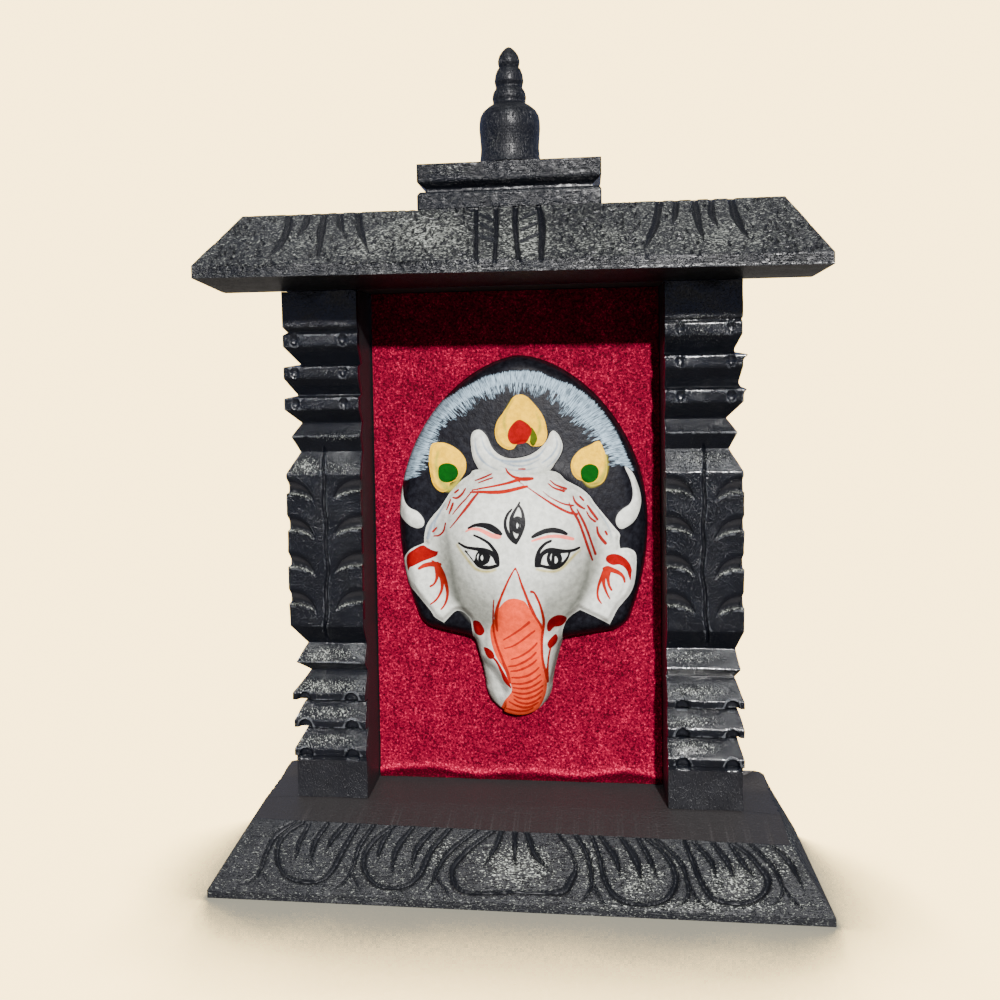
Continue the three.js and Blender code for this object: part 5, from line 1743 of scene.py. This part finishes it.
class SHRINE_OT_plain(bpy.types.Operator):
    """Gives the cap rail and the backing board their finish"""

    bl_idname = "shrine.plain"
    bl_label = "Plain boards"

    def execute(self, context):
        board = stained_board()
        for name in ("cap_rail", "backing_board"):
            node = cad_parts[name]
            node.data.materials.clear()
            node.data.materials.append(board)
        return {"FINISHED"}


# The stage

class Lamp:
    """A studio lamp far off, named by where it stands: degrees up from the floor, and degrees to the right."""

    def __init__(self, name, up, right, spread, power, tint):
        self.name, self.up, self.right = name, math.radians(up), math.radians(right)
        self.spread, self.power, self.tint = math.radians(spread), power, tint


LAMPS = (
    Lamp("key", 22.5, 9, 2.2, 10.4, (1, 0.98, 0.96)),
    Lamp("front_soft_box", 57, 2, 24, 1.8, (0.98, 1, 1)),
    Lamp("overhead_soft_box", 108, 0, 60, 0.5, (1, 1, 0.95)),
)
BACKDROP = np.array((6.4, 4.65, 1.93))      # how bright the floor and the world behind it are seen
FLOOR_SHADOW = (0.075, 0.098, 0.185)           # how much of it is left in the shadow painted before the base
SHADOW_REACH = 0.09                         # metres from the base at which that painted shadow ends
FILL = (0.16, 0.16, 0.17)
ROOM = (0.38, 0.44, 0.72)                   # what the glossy wood mirrors of the room in front of it
CEILING = (0.12, 0.12, 0.13)                # and of the ceiling


def hang_lamp(lamp):
    """Hangs one of the studio's lamps, turned towards the shrine."""
    toward = Vector((math.sin(lamp.right) * math.cos(lamp.up), -math.cos(lamp.right) * math.cos(lamp.up),
                     math.sin(lamp.up)))
    data = bpy.data.lights.new(lamp.name, "SUN")
    data.angle = lamp.spread
    data.energy = lamp.power * bpy.context.scene.shrine.light_strength
    data.color = lamp.tint
    light = bpy.data.objects.new(lamp.name, data)
    bpy.context.collection.objects.link(light)
    light.location = toward
    light.rotation_euler = toward.to_track_quat("Z", "Y").to_euler()


def floor_light():
    """How brightly the lamps light the floor, for each colour."""
    power = bpy.context.scene.shrine.light_strength
    total = np.array(FILL)
    for lamp in LAMPS:
        total += np.array(lamp.tint) * lamp.power * power * math.sin(lamp.up) / math.pi
    return total


def pale_floor():
    """The floor the camera sees is pale with a painted shadow before the base, and throws little light back at the
    shrine.
    """
    material, tree, shader = new_material("pale floor")
    shader.inputs["Base Color"].default_value = (0.1, 0.09, 0.08, 1)
    shader.inputs["Roughness"].default_value = 1
    toward_shrine = add_node(tree, "CombineXYZ", X=0.0, Y=0.9, Z=0.43)
    nearby = add_node(tree, "AmbientOcclusion", Distance=SHADOW_REACH, Normal=toward_shrine.outputs["Vector"])
    open_to_light = ramp(tree, maths(tree, "POWER", nearby.outputs["AO"], 4.5), 0.1, 0.95)
    shadow = maths(tree, "MINIMUM", maths(tree, "MULTIPLY", maths(tree, "POWER", open_to_light, 2.0), 1.75), 1.0)
    cream = BACKDROP / floor_light()
    seen = add_node(tree, "BsdfDiffuse",
                    Color=blend(tree, shadow, (*(cream * FLOOR_SHADOW), 1), (*cream, 1)))
    path = add_node(tree, "LightPath")
    mix = add_node(tree, "MixShader", i0=path.outputs["Is Camera Ray"], i1=shader.outputs["BSDF"],
                   i2=seen.outputs["BSDF"])
    tree.links.new(mix.outputs["Shader"], tree.nodes["Material Output"].inputs["Surface"])
    return material


def pale_world():
    """The world looks the same as the floor, fills the shadows a little and is mirrored in the glossy wood."""
    world = bpy.data.worlds.new("studio")
    world.use_nodes = True
    tree = world.node_tree
    fill = tree.nodes["Background"]
    fill.inputs["Color"].default_value = (*FILL, 1)
    direction = add_node(tree, "SeparateXYZ", Vector=add_node(tree, "TexCoord").outputs["Generated"])
    room = blend(tree, ramp(tree, direction.outputs["Z"], 0.2, 0.8), (*ROOM, 1), (*CEILING, 1))
    mirrored = add_node(tree, "Background", Color=room, Strength=1.0)
    seen = add_node(tree, "Background", Color=(*BACKDROP, 1), Strength=1.0)
    path = add_node(tree, "LightPath")
    mix = add_node(tree, "MixShader", i0=path.outputs["Is Glossy Ray"], i1=fill.outputs["Background"],
                   i2=mirrored.outputs["Background"])
    mix = add_node(tree, "MixShader", i0=path.outputs["Is Camera Ray"], i1=mix.outputs["Shader"],
                   i2=seen.outputs["Background"])
    tree.links.new(mix.outputs["Shader"], tree.nodes["World Output"].inputs["Surface"])
    return world


class SHRINE_OT_stage(bpy.types.Operator):
    """Builds the floor, the lights and the camera"""

    bl_idname = "shrine.stage"
    bl_label = "Stage"

    def execute(self, context):
        bpy.ops.object.select_all(action="DESELECT")
        bpy.ops.mesh.primitive_plane_add(size=60, location=(0, 0, 0))
        floor = context.object
        floor.name = "floor"
        floor.data.materials.append(pale_floor())
        context.scene.world = pale_world()
        for lamp in LAMPS:
            hang_lamp(lamp)
        right, up, forward = camera_axes()
        data = bpy.data.cameras.new("camera")
        camera = bpy.data.objects.new("camera", data)
        context.collection.objects.link(camera)
        turn = Matrix((right, up, -forward)).transposed().to_4x4()
        turn.translation = CAMERA_PLACE * MM
        camera.matrix_world = turn
        data.sensor_width = 36
        data.lens = data.sensor_width * FOCAL / PHOTO_SIZE
        data.shift_x = (PHOTO_SIZE / 2 - OPTICAL_CENTRE[0]) / PHOTO_SIZE
        data.shift_y = (OPTICAL_CENTRE[1] - PHOTO_SIZE / 2) / PHOTO_SIZE
        data.clip_start = 0.01
        context.scene.camera = camera
        return {"FINISHED"}


class SHRINE_PT_panel(bpy.types.Panel):
    """The shrine's settings and pieces"""

    bl_label = "Shrine"
    bl_idname = "SHRINE_PT_panel"
    bl_space_type = "VIEW_3D"
    bl_region_type = "UI"
    bl_category = "Shrine"

    def draw(self, context):
        column = self.layout.column()
        for name in ShrineSettings.__annotations__:
            column.prop(context.scene.shrine, name)
        for piece in PIECES:
            column.operator(piece.bl_idname)


PIECES = (SHRINE_OT_base, SHRINE_OT_posts, SHRINE_OT_roof, SHRINE_OT_ridge, SHRINE_OT_finial, SHRINE_OT_plain,
          SHRINE_OT_velvet, SHRINE_OT_mask, SHRINE_OT_stage)
CLASSES = (ShrineSettings, *PIECES, SHRINE_PT_panel)


def register():
    for part in CLASSES:
        bpy.utils.register_class(part)
    bpy.types.Scene.shrine = bpy.props.PointerProperty(type=ShrineSettings)


def unregister():
    del bpy.types.Scene.shrine
    for part in reversed(CLASSES):
        bpy.utils.unregister_class(part)


def main():
    """Builds the whole shrine."""
    register()
    for step in ("base", "posts", "roof", "ridge", "finial", "plain", "velvet", "mask", "stage"):
        getattr(bpy.ops.shrine, step)()


if __name__ == "__main__":
    main()
